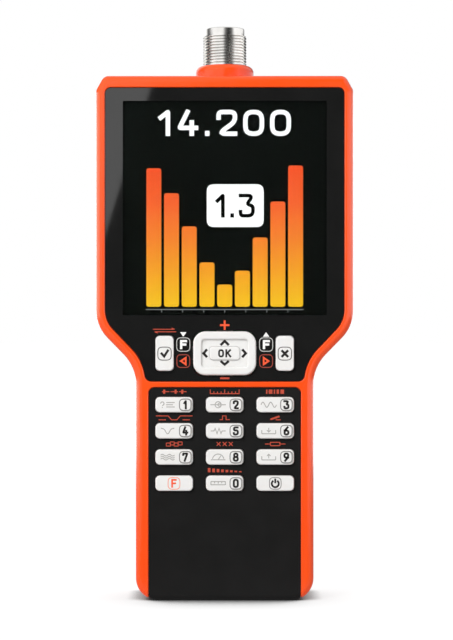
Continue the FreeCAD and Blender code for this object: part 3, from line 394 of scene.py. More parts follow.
# %% Black face panels
face_black = finish("face_black_film", (0.009, 0.009, 0.009), 0.03)
tint(face_black, (0.012, 4), (0.0080, 0.0082, 0.0080), (0.0100, 0.0100, 0.0098))
polish(face_black, (0.006, 5), 0.02, 0.045)
relief(face_black, (0.0004, 2), 0.0000004)
wear(face_black, "upper_face_panel")
grip_black = finish("grip_black_film", (0.0112, 0.0112, 0.0112), 0.3, specular=0.08)
tint(grip_black, (0.012, 4), (0.0106, 0.0106, 0.0104), (0.0122, 0.0120, 0.0119))
polish(grip_black, (0.006, 3), 0.29, 0.34)
relief(grip_black, (0.0003, 3), 0.0000015)
wear(grip_black, "lower_face_panel")

# %% [markdown]
# The window is a clear plate that is coated against reflections, so it hardly mirrors the
# room. A Principled shader with full transmission makes it; the low specular level stands
# for the coating, and faint wipe marks vary its polish.

# %% Window
window_clear = finish("window_clear_coated", (0.97, 0.985, 0.975), 0.02, specular=0.01, more={
    "Transmission Weight": 1.0, "IOR": 1.49, "Specular Tint": (0.02, 0.03, 0.03, 1)})
polish(window_clear, (0.009, 5, (1, 1, 2.5)), 0.0, 0.03)
wear(window_clear, "display_window")

# %% [markdown]
# The display glass is nearly black when its pixels are off. Up close a liquid crystal
# display shows a grid of dots, so a brick pattern with hair-thin joints draws that grid a
# shade darker.

# %% Display glass
PIXEL = 0.00023


def bricks(material, width, height, joint, *colours, offset=0.0, squash=1.0):
    """Bricks on the faces that look forward, in two colours, with joints in a third."""
    upright = add_node(material, "Mapping", {"Vector": on_piece(material),
                                             "Rotation": (math.radians(90), 0, 0)})
    return add_node(material, "TexBrick", {
        "Vector": upright, "Scale": 1.0, "Brick Width": width, "Row Height": height,
        "Mortar Size": joint, **dict(zip(("Color1", "Color2", "Mortar"), colours))},
        offset=offset, squash=squash)


display_glass = finish("display_glass_dark", (0.0055, 0.0065, 0.0055), 0.5, specular=0.02)
pixels = bricks(display_glass, PIXEL, PIXEL, 0.00002, (0.0056, 0.0072, 0.0056),
                (0.0050, 0.0066, 0.0052), (0.0020, 0.0022, 0.0022))
feed(display_glass, "Base Color", pixels)
polish(display_glass, (0.01, 3), 0.45, 0.6)
wear(display_glass, "lcd_glass")

# %% [markdown]
# The keys and the navigation pad are moulded in white plastic with a soft satin skin. A
# little light travels inside the plastic before it comes out again, which keeps the
# shaded sides bright, so the shader gets a small amount of subsurface scattering. The pad
# has its own copy of the finish with painted shade: its sunk dish is painted darker below
# its upper and left walls.

# %% White keys
def white_satin(name):
    material = finish(name, (0.81, 0.803, 0.785), 0.38, more={
        "Subsurface Weight": 0.15, "Subsurface Radius": (1.0, 0.9, 0.8),
        "Subsurface Scale": 0.0006})
    tint(material, (0.008, 3), (0.80, 0.792, 0.772), (0.82, 0.815, 0.80))
    polish(material, (0.002, 3), 0.34, 0.44)
    relief(material, (0.00022, 2), 0.0000015)
    return material


key_white = white_satin("key_white_satin")
wear(key_white, "ok_button", *[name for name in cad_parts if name.startswith("key_")])

pad_white = white_satin("pad_white_satin_painted_shade")
PAINTED_SHADE_REACH = 0.0022
# painted shade: the pad's colour is darkened where its own dish walls stand close above and to the
# left
gap = openness(pad_white, (-0.45, -0.75, 0.5), PAINTED_SHADE_REACH, 12, only_local=True)
painted_hollow_shade = ramp_colour(pad_white, gap, ((0.55, (0.77, 0.76, 0.75)), (0.86, 1)))
base = principled(pad_white)["Base Color"].links[0].from_socket
# a Mix node has its two colours at inputs 6 and 7, and the mixed one at output 2
base_with_painted_shade = add_node(pad_white, "Mix", {0: 1.0, 6: base, 7: painted_hollow_shade}, 2,
                  data_type="RGBA", blend_type="MULTIPLY")
feed(pad_white, "Base Color", base_with_painted_shade)
wear(pad_white, "nav_rocker")

# %% [markdown]
# Rubber and dark moulded parts sit out of sight, but they are looked at when the analyzer
# is taken apart. Rubber is dull with a powdery sheen; moulded black plastic has a coarse
# spark-eroded grain.

# %% Rubber and dark plastic
seal_rubber = finish("seal_rubber_dull", (0.02, 0.02, 0.02), 0.8, specular=0.3)
tint(seal_rubber, (0.003, 4), (0.016, 0.016, 0.017), (0.028, 0.028, 0.028))
relief(seal_rubber, (0.0002, 3), 0.000006)
wear(seal_rubber, "case_gasket", "lcd_gasket")

mat_silicone = finish("mat_silicone_grey", (0.26, 0.26, 0.26), 0.62, specular=0.4,
                      more={"Sheen Weight": 0.25, "Sheen Roughness": 0.6})
tint(mat_silicone, (0.006, 4), (0.23, 0.23, 0.235), (0.29, 0.29, 0.285))
relief(mat_silicone, (0.0003, 2), 0.000005)
wear(mat_silicone, "keypad_mat", "nav_rubber_boss")

tray_black = finish("tray_black_grained", (0.022, 0.022, 0.022), 0.5)
tint(tray_black, (0.005, 3), (0.018, 0.018, 0.018), (0.028, 0.028, 0.027))
polish(tray_black, (0.001, 3), 0.42, 0.6)
relief(tray_black, (0.00035, 3), 0.00001)
wear(tray_black, "battery_tray", "battery_door", "battery_door_catch", "lcd_frame",
     "ribbon_connector", "buzzer")

chip_black = finish("chip_black_epoxy", (0.025, 0.025, 0.027), 0.55)
tint(chip_black, (0.0004, 2), (0.018, 0.018, 0.02), (0.05, 0.05, 0.052), 0.45, 0.75)
relief(chip_black, (0.0002, 2), 0.000006)
wear(chip_black, "board_chips")

# %% [markdown]
# The circuit board is green solder mask over copper. The mask follows the tracks below
# it, so the same brick pattern that lightens the tracks also raises them. Its joints are
# the tracks: straight, parallel and stepped, as a router lays them.

# %% Circuit board
board_green = finish("board_green_mask", (0.015, 0.13, 0.05), 0.28)
tracks = bricks(board_green, 0.0062, 0.0011, 0.00012, (0.010, 0.105, 0.040),
                (0.014, 0.125, 0.050), (0.035, 0.230, 0.085), offset=0.37, squash=0.6)
feed(board_green, "Base Color", tracks)
relief(board_green, tracks.node.outputs["Fac"], 0.00003)
polish(board_green, (0.003, 3), 0.22, 0.34)
wear(board_green, "main_board")

# %% [markdown]
# The display is joined to the board by a flat cable: copper strands between two amber
# films. Fine bands along its width draw the strands, and the same field raises them.

# %% Flat cable
def waves(material, kind, direction, spacing, distortion=0.0):
    """Even BANDS or RINGS, `spacing` metres apart. At scale 1 they are pi / 10 apart."""
    return add_node(material, "TexWave", {
        "Vector": on_piece(material), "Scale": 2 * math.pi / spacing / 20,
        "Distortion": distortion}, "Fac", wave_type=kind,
        **{kind.lower() + "_direction": direction})


ribbon_amber = finish("ribbon_amber_film", (0.4, 0.15, 0.02), 0.25)
strands = waves(ribbon_amber, "BANDS", "X", 0.001)
tint(ribbon_amber, strands, (0.22, 0.07, 0.008), (0.55, 0.24, 0.045), 0.35, 0.6)
relief(ribbon_amber, strands, 0.00002)
wear(ribbon_amber, "lcd_ribbon")

# %% [markdown]
# Metal has no colour of its own under the light, only a tinted mirror. What tells tin
# from nickel, brass and gold is the tint and the marks of making: mottling on dipped tin,
# long scratches on drawn spring steel, rings on what was turned on a lathe.

# %% Metals inside
can_tin = finish("can_tin_plated", (0.62, 0.61, 0.58), 0.32, metallic=1.0)
tint(can_tin, (0.003, 5), (0.52, 0.51, 0.49), (0.70, 0.69, 0.66))
polish(can_tin, (0.002, 4), 0.24, 0.42)
relief(can_tin, (0.0008, 4, (1, 1, 6)), 0.000006)
wear(can_tin, "rf_shield_can", "usb_receptacle")

spring_steel = finish("spring_steel_drawn", (0.6, 0.59, 0.56), 0.25, metallic=1.0)
tint(spring_steel, (0.001, 3, (1, 1, 5)), (0.50, 0.49, 0.47), (0.66, 0.65, 0.62))
polish(spring_steel, (0.0005, 3, (1, 1, 6)), 0.18, 0.36)
wear(spring_steel, "snap_domes", "battery_springs", "battery_contacts")

screw_steel = finish("screw_black_zinc", (0.16, 0.16, 0.17), 0.35, metallic=1.0)
tint(screw_steel, (0.0012, 4), (0.11, 0.11, 0.12), (0.24, 0.23, 0.23))
polish(screw_steel, (0.0006, 3), 0.28, 0.46)
wear(screw_steel, "case_screws", "board_screws")

insert_brass = finish("insert_brass_knurled", (0.72, 0.50, 0.20), 0.3, metallic=1.0)
tint(insert_brass, (0.001, 3), (0.62, 0.42, 0.15), (0.78, 0.56, 0.24))
polish(insert_brass, (0.0006, 2, (1, 5, 1)), 0.22, 0.42)
relief(insert_brass, (0.0005, 1, (3, 0.4, 3)), 0.00006)
wear(insert_brass, "threaded_inserts", "rf_lead")

contact_gold = finish("contact_gold_plated", (0.88, 0.62, 0.22), 0.16, metallic=1.0)
tint(contact_gold, (0.0015, 3), (0.82, 0.56, 0.18), (0.92, 0.67, 0.27))
polish(contact_gold, (0.0006, 3, (1, 1, 8)), 0.10, 0.24)
wear(contact_gold, "rf_center_contact")

# %% [markdown]
# Each cell has a printed film around a steel can. A ramp along the cell gives the bare
# steel rim at each end, a dark body and a pale band. The three cells stand side by side
# at the same height, so one ramp in height serves them all.

# %% Battery cells
def height_share(material, low, high):
    """0 at the height `low` and 1 at the height `high`, both in metres."""
    height = add_node(material, "SeparateXYZ", {"Vector": on_piece(material)}, "Z")
    return add_node(material, "MapRange", {"Value": height, "From Min": low, "From Max": high})


cell_jacket = finish("cell_jacket_film", (0.06, 0.08, 0.10), 0.3)
cell_low, cell_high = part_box("battery_cells")
band = tint(cell_jacket, height_share(cell_jacket, cell_low.z, cell_high.z),
            (0.05, 0.07, 0.09), (0.55, 0.56, 0.56), 0.05, 0.951).node.color_ramp
band.interpolation = "CONSTANT"
for position, colour in ((0.0, (0.55, 0.55, 0.54)), (0.30, (0.62, 0.63, 0.62)),
                         (0.38, (0.05, 0.07, 0.09))):
    band.elements.new(position).color = (*colour, 1)
polish(cell_jacket, (0.004, 3), 0.24, 0.36)
wear(cell_jacket, "battery_cells")

# %% [markdown]
# The socket's insulator is turned from a white, waxy plastic. Light goes a little way into
# it, so it has some subsurface scattering, and the turning tool leaves fine rings.

# %% Insulator
socket_ptfe = finish("socket_ptfe_turned", (0.86, 0.86, 0.83), 0.42, more={
    "Subsurface Weight": 0.25, "Subsurface Radius": (1.0, 0.95, 0.9),
    "Subsurface Scale": 0.0008})
relief(socket_ptfe, waves(socket_ptfe, "RINGS", "Z", 0.0003, 0.3), 0.00001)
tint(socket_ptfe, (0.004, 2), (0.84, 0.84, 0.81), (0.88, 0.88, 0.86))
wear(socket_ptfe, "rf_insulator")

# %% [markdown]
# Legends are screen-printed: a flat layer of ink with crisp edges. Font outlines would do
# for ordinary words, but these marks are drawn with one even stroke and soft corners, like
# a technical stencil. So each mark is a path in millimetres, and a helper gives it width.

# %% Strokes of even width
CORNER_STEPS = 4
BLUNTEST = 0.4       # a sharp corner's mitre reaches no further than 1 / 0.4 half widths


def soft_path(points, radius, closed):
    """The same path with each corner rounded by a short curve."""
    corners = [Vector(point) for point in points]
    path = []
    for i, corner in enumerate(corners):
        if radius == 0 or (not closed and i in (0, len(corners) - 1)):
            path.append(corner)
            continue
        before, after = corners[i - 1], corners[(i + 1) % len(corners)]
        reach = min(radius, (before - corner).length * 0.499, (after - corner).length * 0.499)
        start = corner + (before - corner).normalized() * reach
        end = corner + (after - corner).normalized() * reach
        for step in range(CORNER_STEPS + 1):
            t = step / CORNER_STEPS
            path.append(start * (1 - t) ** 2 + corner * 2 * t * (1 - t) + end * t ** 2)
    return path


def stroke(points, width, radius=0.0, closed=False):
    """Left and right edge of a stroke along a path, with mitred corners."""
    path = soft_path(points, radius, closed)
    left, right = [], []
    for i, point in enumerate(path):
        behind = point - path[i - 1]
        ahead = path[(i + 1) % len(path)] - point if closed or i < len(path) - 1 else behind
        behind = behind if closed or i > 0 else ahead
        ahead, behind = ahead.normalized(), behind.normalized()
        across = Vector((-ahead.y - behind.y, ahead.x + behind.x)).normalized()
        half = width / 2 / max(BLUNTEST, across.dot(Vector((-behind.y, behind.x))))
        left.append(point + across * half)
        right.append(point - across * half)
    return left, right, closed


def box_path(x, z, width, height):
    return [(x - width / 2, z - height / 2), (x + width / 2, z - height / 2),
            (x + width / 2, z + height / 2), (x - width / 2, z + height / 2)]


print("a round-cornered box has", len(soft_path(box_path(0, 0, 4, 4), 1, True)), "points")

# %% [markdown]
# One function turns strokes and filled patches into a thin closed mesh that lies on a face
# of the analyzer. Its base sinks slightly into that face and its top stands 0.02 mm proud,
# as a thick layer of ink does. Every further stroke lies a hair higher than the one before,
# so crossing strokes never share a plane.

# %% Layers of ink
PRINT = 0.02         # thickness of a layer of ink, in mm
STEP = 0.0004        # from one stroke's height to the next
SUNK = 0.01          # how deep a stroke's base lies in the face


def patch(points, radius=0.0):
    """A filled shape, given by its outline."""
    return soft_path(points, radius, closed=True), None, True


def wall(above, below, i, j):
    return above[i], above[j], below[j], below[i]


def printed(name, body, front, layers):
    """Ink on a face that looks forward. Layers pair a finish with its strokes and patches."""
    mesh = bpy.data.meshes.new(name)
    sheet = bmesh.new()
    count = 0
    for slot, (ink, shapes) in enumerate(layers):
        mesh.materials.append(ink)
        for left, right, closed in shapes:
            count += 1
            top = (front - PRINT - STEP * count) * MM
            low = (front + SUNK) * MM
            corners = left if right is None else left + right[::-1]
            above, below = [[sheet.verts.new((p.x * MM, y, p.y * MM)) for p in corners]
                            for y in (top, low)]
            size, last = len(left), len(corners) - 1
            if right is None:
                faces = [above, below] + [wall(above, below, i - 1, i) for i in range(size)]
            else:
                faces = []
                for i in range(size if closed else size - 1):
                    j = (i + 1) % size
                    faces += [(side[i], side[j], side[last - j], side[last - i])
                              for side in (above, below)]
                    faces += [wall(above, below, i, j), wall(above, below, last - i, last - j)]
                if not closed:
                    faces += [wall(above, below, 0, last), wall(above, below, size - 1, size)]
            for corners_of_face in faces:
                sheet.faces.new(corners_of_face).material_index = slot
    bmesh.ops.recalc_face_normals(sheet, faces=sheet.faces)
    sheet.to_mesh(mesh)
    sheet.free()
    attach(in_scene(name, mesh), body)


print("printing is ready")

# %% [markdown]
# The numerals are drawn in a unit box and then scaled: straight runs with round corners,
# the way an engraver's stencil makes them. A few are one line, and some need two. A path
# that ends where it starts is closed.

# %% Numerals and letters
GLYPHS = {
    "0": [[(0, 0), (1, 0), (1, 1), (0, 1), (0, 0)]],
    "1": [[(0, 0.74), (0.85, 1), (0.85, 0)]],
    "2": [[(0, 0.74), (0, 1), (1, 1), (1, 0.56), (0, 0), (1, 0)]],
    "3": [[(0, 1), (1, 1), (0.5, 0.56), (1, 0.5), (1, 0), (0, 0), (0, 0.2)]],
    "4": [[(0.48, 1), (0, 0.27), (1, 0.27)], [(0.74, 0.52), (0.74, 0)]],
    "5": [[(0.95, 1), (0.06, 1), (0.02, 0.56), (1, 0.6), (1, 0), (0, 0), (0, 0.2)]],
    "6": [[(0.8, 1), (0.1, 0.56), (0, 0), (1, 0), (1, 0.56), (0.06, 0.56)]],
    "7": [[(0, 0.82), (0, 1), (1, 1), (0.36, 0)]],
    "8": [[(0, 0), (1, 0), (1, 0.52), (0, 0.52), (0, 0)],
          [(0.08, 0.52), (0.92, 0.52), (0.92, 1), (0.08, 1), (0.08, 0.52)]],
    "9": [[(0.2, 0), (0.9, 0.44), (1, 1), (0, 1), (0, 0.44), (0.94, 0.44)]],
    ".": [[(0.5, 0), (0.5, 0.03)]],
    "F": [[(0, 0), (0, 1), (1, 1)], [(0, 0.5), (0.85, 0.5)]],
    "O": [[(0, 0), (1, 0), (1, 1), (0, 1), (0, 0)]],
    "K": [[(0, 0), (0, 1)], [(0.95, 1), (0.1, 0.46)], [(0.3, 0.58), (1, 0)]],
}
NARROW = {"1": 0.62, ".": 0.3}     # shares of the usual width
SOFTNESS = 0.42     # corner radius as a share of the width
CRISP = {"1": 0.12, "4": 0.2, "7": 0.25, "K": 0.0}     # shares of the usual corner radius


def square_ended(run, extra):
    """The same path, longer by `extra` at both ends, so that they line up with its corners."""
    points = [Vector(point) for point in run]
    first = points[0] + (points[0] - points[1]).normalized() * extra
    last = points[-1] + (points[-1] - points[-2]).normalized() * extra
    return [first, *points[1:-1], last]


def lettering(text, x, z, height, width, line, gap=0.0, radius=None):
    """Strokes of a short text centred at x, z. Height and width are those of a wide glyph."""
    soft = width * SOFTNESS if radius is None else radius
    widths = [width * NARROW.get(sign, 1.0) for sign in text]
    left = x - (sum(widths) + gap * (len(text) - 1)) / 2
    shapes = []
    for sign, wide in zip(text, widths):
        for path in GLYPHS[sign]:
            run = [(left + line / 2 + u * (wide - line), z + (v - 0.5) * (height - line))
                   for u, v in path]
            closed = path[0] == path[-1]
            run = run[:-1] if closed else square_ended(run, line / 2)
            shapes.append(stroke(run, line, soft * CRISP.get(sign, 1.0), closed))
        left += wide + gap
    return shapes


print("glyphs:", "".join(GLYPHS))

# %% [markdown]
# Ink is nearly matt. Under a lens a screen print shows the mesh it was pressed through as
# a fine, uneven density, so each ink gets a slight mottle in its colour and its polish.

# %% Inks
def ink(name, colour, specular=0.35):
    material = finish(name, colour, 0.45, specular=specular)
    paler = tuple(min(1.0, channel * 1.08 + 0.002) for channel in colour)
    tint(material, (0.0006, 3), tuple(channel * 0.93 for channel in colour), paler)
    polish(material, (0.0003, 2), 0.39, 0.53)
    relief(material, (0.0002, 2), 0.000002)
    return material


ink_dark = ink("ink_dark_grey", (0.016, 0.014, 0.013), specular=0.15)
ink_soft = ink("ink_soft_black", (0.062, 0.056, 0.053), specular=0.2)
ink_outline = ink("ink_outline_grey", (0.235, 0.228, 0.220))
ink_pale = ink("ink_pale_grey", (0.40, 0.39, 0.37))
ink_silver = ink("ink_silver", (0.50, 0.50, 0.48))
ink_white = ink("ink_white", (0.90, 0.90, 0.88))
ink_orange = ink("ink_orange", (0.88, 0.095, 0.028))
ink_red = ink("ink_red", (0.30, 0.045, 0.028))
ink_mark = ink("ink_mark_orange", (0.50, 0.062, 0.03))
print("inks", sum(m.name.startswith("ink_") for m in bpy.data.materials))

# %% [markdown]
# Each numbered key has a numeral in a round-cornered badge on its right, and a small
# picture of its function on its left, in thin pale lines. A picture reads in any language,
# and it is made of the same strokes as the numerals.

# %% Small pictures of the functions
def ring_path(x, z, radius, start=0, end=360, steps=20):
    turns = [math.radians(start + (end - start) * i / steps) for i in range(steps + 1)]
    return [(x + radius * math.cos(turn), z + radius * math.sin(turn)) for turn in turns]


def wave_path(width, height, z=0.0, periods=2, steps=24):
    turns = [2 * math.pi * periods * i / steps for i in range(steps + 1)]
    return [(width * (i / steps - 0.5), z + height / 2 * math.sin(turn))
            for i, turn in enumerate(turns)]


def across(left, right, z):
    return [(left, z), (right, z)]


LINE = 0.32
TRAY = [(-2.5, 0.3), (-2.5, -1.0), (2.5, -1.0), (2.5, 0.3)]
# each picture is a list of paths with the radius of their corners
PICTURES = {
    "key_1": [(ring_path(-1.9, 0.42, 0.62, 180, -70, 12) + [(-1.9, -0.38)], 0.1),
              ([(-1.9, -0.78), (-1.9, -1.08)], 0),
              (across(-0.5, 2.6, 0.8), 0), (across(-0.5, 1.9, 0), 0), (across(-0.5, 2.6, -0.8), 0)],
    "key_2": [(ring_path(0, 0, 1.1), 0), (ring_path(0.5, 0, 0.58), 0), (across(-2.8, 2.8, 0), 0)],
    "key_3": [(wave_path(5.6, 1.9), 0)],
    "key_4": [([(-2.4, 1.0), (-1.2, 0.7), (-0.3, -1.0), (0.3, -1.0), (1.2, 0.7), (2.4, 1.0)], 0.6)],
    "key_5": [([(-2.7, 0), (-1.5, 0), (-1.1, 0.95), (-0.4, -0.95), (0.3, 0.95), (1.0, -0.95),
                (1.4, 0), (2.7, 0)], 0)],
    "key_6": [(TRAY, 0.3), ([(0, 1.1), (0, -0.35)], 0),
              ([(-0.65, 0.25), (0, -0.42), (0.65, 0.25)], 0)],
    "key_7": [(wave_path(5.0, 0.62, z), 0) for z in (0.72, 0, -0.72)],
    "key_8": [(ring_path(0, -0.95, 2.05, 10, 170), 0), ([(0, -0.95), (0.95, 0.5)], 0),
              (across(-2.6, 2.6, -0.95), 0)],
    "key_9": [(TRAY, 0.3), ([(0, 1.0), (0, -0.45)], 0),
              ([(-0.65, 0.4), (0, 1.08), (0.65, 0.4)], 0)],
    "key_0": [([(-2.6, -0.5), (2.6, -0.5), (2.6, 0.65), (-2.6, 0.65)], 0.1),
              *[([(x, 0.6), (x, low)], 0) for x, low in ((-1.3, 0), (0, -0.1), (1.3, 0))]],
}


def picture(key, x, z):
    """Only the first path of the meter on key 0 is closed."""
    return [stroke([(x + u, z + v) for u, v in path], LINE, radius, key == "key_0" and index == 0)
            for index, (path, radius) in enumerate(PICTURES[key])]


print("pictures", len(PICTURES))

# %% [markdown]
# Now the keypad is printed, one object for each key, riding on that key so that the ink
# goes down with it when it is pressed.

# %% Legends on the numbered keys
def middle_of(node):
    low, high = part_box(node)
    return (low.x + high.x) / 2 / MM, (low.z + high.z) / 2 / MM


def badge(x, z, width, height, radius, line):
    return stroke(box_path(x, z, width - line, height - line), line, radius, True)


BADGE_X, PICTURE_X = 4.0, -2.35      # from the middle of a key
for digit in "0123456789":
    key = "key_" + digit
    x, z = middle_of(key)
    printed(key + "_legend", key, KEY_Y, [
        (ink_pale, [badge(x + BADGE_X + 0.16, z - 0.06, 4.75, 4.62, 1.6, 0.24),
                    *picture(key, x + PICTURE_X, z)]),
        (ink_outline, [badge(x + BADGE_X, z, 4.5, 4.4, 1.45, 0.34)]),
        (ink_dark, lettering(digit, x + BADGE_X, z, 3.3, 2.15, 0.72))])
print("keypad printed")

# %% [markdown]
# The function key is marked in orange, the power key with the usual broken ring and bar,
# and the two upright keys beside the pad with a tick and a cross.

# %% Legends on the other keys
x, z = middle_of("key_function")
printed("key_function_legend", "key_function", KEY_Y, [
    (ink("ink_pale_orange", (0.93, 0.30, 0.20)), [badge(x - 0.05, z, 4.5, 4.5, 1.5, 0.26)]),
    (ink_orange, lettering("F", x - 0.05, z, 3.1, 1.95, 0.6, radius=0.0))])
x, z = middle_of("key_power")
printed("key_power_legend", "key_power", KEY_Y, [
    (ink_outline, [badge(x, z, 4.5, 4.5, 1.5, 0.3)]),
    (ink_dark, [stroke(ring_path(x, z - 0.12, 1.26, 122, 418), 0.68),
                stroke([(x, z + 0.05), (x, z + 1.7)], 0.66)])])
for key, mark in (("key_confirm", [[(-1.32, 0.3), (-0.14, -1.02), (1.4, 1.42)]]),
                  ("key_cancel", [[(-1.2, 1.2), (1.2, -1.2)], [(-1.2, -1.2), (1.2, 1.2)]])):
    x, z = middle_of(key)
    z -= 0.1
    printed(key + "_legend", key, KEY_Y, [
        (ink_soft, [badge(x, z, 5.1, 4.95, 1.6, 0.28)]),
        (ink_dark, [stroke([(x + u, z + v) for u, v in path], 0.84) for path in mark])])
print("four more keys printed")

# %% [markdown]
# The pad has four chevrons in its dish, and the centre button two letters. The chevrons lie
# on the dish's floor, so they are printed further back than the button's letters. A thin
# web of the pad's own plastic closes the slit around the button, just below the floor.

# %% Legends on the navigation pad
DISH_Y, WEB_Y = -16.25, -16.13
chevrons = [[(-1.5, 2.95), (0, 4.4), (1.5, 2.95)], [(-1.5, -2.75), (0, -4.05), (1.5, -2.75)],
            [(-6.35, 1.42), (-7.62, 0), (-6.35, -1.42)], [(6.3, 1.42), (7.6, 0), (6.3, -1.42)]]
printed("nav_chevrons", "nav_rocker", DISH_Y,
        [(ink_dark, [stroke([(u, NAV_Z + v) for u, v in path], 0.88) for path in chevrons])])
printed("ok_legend", "ok_button", OK_Y,
        [(ink_dark, lettering("OK", 0, NAV_Z, 2.9, 2.1, 0.64, gap=0.5))])
printed("ok_button_web", "nav_rocker", WEB_Y,
        [(pad_white, [badge(0, NAV_Z, 11.4, 5.3, 1.45, 0.21)])])
print("pad printed")

# %% [markdown]
# On the black film around the pad there are more marks: plus and minus, two framed letters
# with a small arrow above, and two framed arrow heads. The left and right sets mirror each
# other apart from the letter.

# %% Marks around the pad
def triangle(x, z, width, height, turn):
    """A filled arrow head that points up, down, left or right."""
    points = [(-width / 2, -height / 2), (width / 2, -height / 2), (0, height / 2)]
    turned = {"up": lambda u, v: (u, v), "down": lambda u, v: (u, -v),
              "left": lambda u, v: (-v, u), "right": lambda u, v: (v, u)}[turn]
    return [(x + turned(u, v)[0], z + turned(u, v)[1]) for u, v in points]


SIDE_X, LETTER_Z, ARROW_Z, SMALL_ARROW_Z = 14.93, 92.35, 86.4, 96.0
PLUS_Z, MINUS_Z = 99.36, 80.2
for name, x, small, large in (("left", -SIDE_X, "down", "left"), ("right", SIDE_X, "up", "right")):
    printed("pad_marks_" + name, "case", PANEL_Y, [
        (ink_silver, [badge(x, LETTER_Z, 5.05, 5.15, 1.5, 0.3)]),
        (ink_white, [*lettering("F", x + 0.1, LETTER_Z, 3.3, 2.55, 0.82, radius=0.0),
                     patch(triangle(x, SMALL_ARROW_Z, 2.3, 1.65, small))]),
        (ink_red, [badge(x, ARROW_Z, 4.95, 4.9, 1.45, 0.32)]),
        (ink_orange, [stroke(triangle(x, ARROW_Z, 2.35, 1.75, large), 0.62, 0.0, True)])])
printed("pad_plus_minus", "case", PANEL_Y, [
    (ink_orange, [stroke(across(-1.7, 1.7, PLUS_Z), 0.7),
                  stroke([(0, PLUS_Z + 1.7), (0, PLUS_Z - 1.7)], 0.7)]),
    (ink_mark, [stroke(across(-1.68, 1.68, MINUS_Z), 0.7)])])
print("panel marks", 3)

# %% [markdown]
# Above each key a second function is marked in orange. These are small pictures too: a row
# of sliders, a scale, a set of bands, a notch, a pulse, a pencil, and so on. They are low
# and wide, so that they fit in the strip between two rows of keys.

# %% Marks above the keys
def thin(*paths):
    return [stroke(path, 0.3) for path in paths]


def block(x, z, width, height, radius=0.0):
    return patch(box_path(x, z, width, height), radius)


SECOND_MARKS = {
    "key_1": thin(*[across(x - 1.35, x + 1.35, 0) for x in (-3.1, 0, 3.1)]) + [
        block(x, 0, 0.75, 1.5, 0.2) for x in (-3.6, 0.5, 2.9)],  # sliders
    "key_2": thin(across(-5.35, 5.35, -0.7), *[[(-5.2 + i * 1.3, -0.75), (
        -5.2 + i * 1.3, 0.8 if i % 4 == 0 else 0.1)] for i in range(9)]),  # a scale
    "key_3": [block(x, 0, width, 1.56) for x, width in (
        (-3.05, 0.5), (-1.65, 1.3), (-0.25, 0.5), (0.95, 0.9), (2.55, 1.3))],  # bands
    "key_4": thin([(-6.6, 0.7), (-2.2, 0.7), (-1.0, -0.7), (1.0, -0.7), (2.2, 0.7), (6.6, 0.7)],
                  across(-5.6, -3.0, -0.7), across(3.0, 5.6, -0.7)),  # a notch
    "key_5": thin([(-1.8, -0.65), (-0.8, -0.65), (-0.8, 0.7), (0.5, 0.7), (0.5, -0.65),
                   (1.8, -0.65)]),  # a pulse
    "key_6": [patch([(-1.9, -0.75), (-1.2, -0.75), (1.7, 0.25), (1.4, 0.85), (-1.6, -0.2)]),
              *thin(across(0.2, 2.0, -0.7))],  # a pencil
    "key_7": [stroke(box_path(x, z, 1.5, 1.1), 0.3, 0.2, True)
              for x, z in ((-2.1, -0.2), (-0.7, 0.2), (0.7, -0.2), (2.1, 0.2))],  # sheets
    "key_8": thin(*[[(x - 0.7, -rise), (x + 0.7, rise)]
                    for x in (-2.2, 0, 2.2) for rise in (0.7, -0.7)]),  # crosses
    "key_9": [*thin(across(-3.7, -1.8, 0), across(1.8, 3.7, 0)),
              stroke(box_path(0, 0, 3.4, 1.2), 0.32, 0.1, True)],  # a load in a line
    "key_0": [block(-5.6 + i * 1.6, -0.08 * i, 0.95, 1.5 - 0.16 * i)
              for i in range(8)],  # falling bars
    "key_confirm": thin(across(-4.2, 3.4, 0.45), [(2.5, 0.9), (3.6, 0.45)],
                        across(4.2, -3.4, -0.45), [(-2.5, -0.9), (-3.6, -0.45)]),  # two arrows
}
ABOVE_KEY, ABOVE_UPRIGHT_KEY = 4.66, 8.2      # from the middle of a key to its mark


def placed(shapes, x, z):
    """The same strokes and patches, moved to x, z."""
    offset = Vector((x, z))
    return [([p + offset for p in left], right and [p + offset for p in right], closed)
            for left, right, closed in shapes]


for key, shapes in SECOND_MARKS.items():
    x, z = middle_of(key)
    z += ABOVE_UPRIGHT_KEY if key == "key_confirm" else ABOVE_KEY
    printed("mark_above_" + key, "case", PANEL_Y, [(ink_mark, placed(shapes, x, z))])
print("marks above keys", len(SECOND_MARKS))

# %% [markdown]
# A lit display gives off its own light, so its finish has emission. Each pixel is a tiny
# square with a dark joint, and the same brick pattern as on the glass draws that grid. The
# bars take their colour from their height, from yellow at the foot to orange at the top.

# %% Lit finishes
def lit(name, shades, low, high, strength):
    """A glowing finish whose colour depends on the height in mm."""
    material = finish(name, (0.01, 0.01, 0.01), 0.4, specular=0.05,
                      more={"Emission Strength": strength})
    stops = [(index / (len(shades) - 1), shade) for index, shade in enumerate(shades)]
    colour = ramp_colour(material, height_share(material, low * MM, high * MM), stops)
    pixels = bricks(material, PIXEL, PIXEL, 0.000012, colour, colour, (0.03, 0.03, 0.03))
    feed(material, "Emission Color", pixels)
    return material


BASE_Z = 106.0       # foot of the bars
lit_white = lit("lit_white", [(1, 1, 1), (0.98, 0.99, 1)], 100, 180, 1.36)
lit_grey = lit("lit_grey", [(0.22, 0.23, 0.24), (0.26, 0.27, 0.28)], 100, 180, 1.0)
lit_bars = lit("lit_bars", [(1.0, 0.60, 0.004), (1.0, 0.40, 0.008), (1.0, 0.24, 0.016),
                            (1.0, 0.13, 0.018), (0.98, 0.085, 0.010)],
               BASE_Z - 1, BASE_Z + 50, 1.15)
print("lit finishes", 3)

# %% [markdown]
# The picture is what such an instrument shows all day: the frequency on top, and a bar
# chart that dips where the antenna matches, with the best value in a white tag. It lies on
# the display glass, behind the window, as a set of thin lit layers.

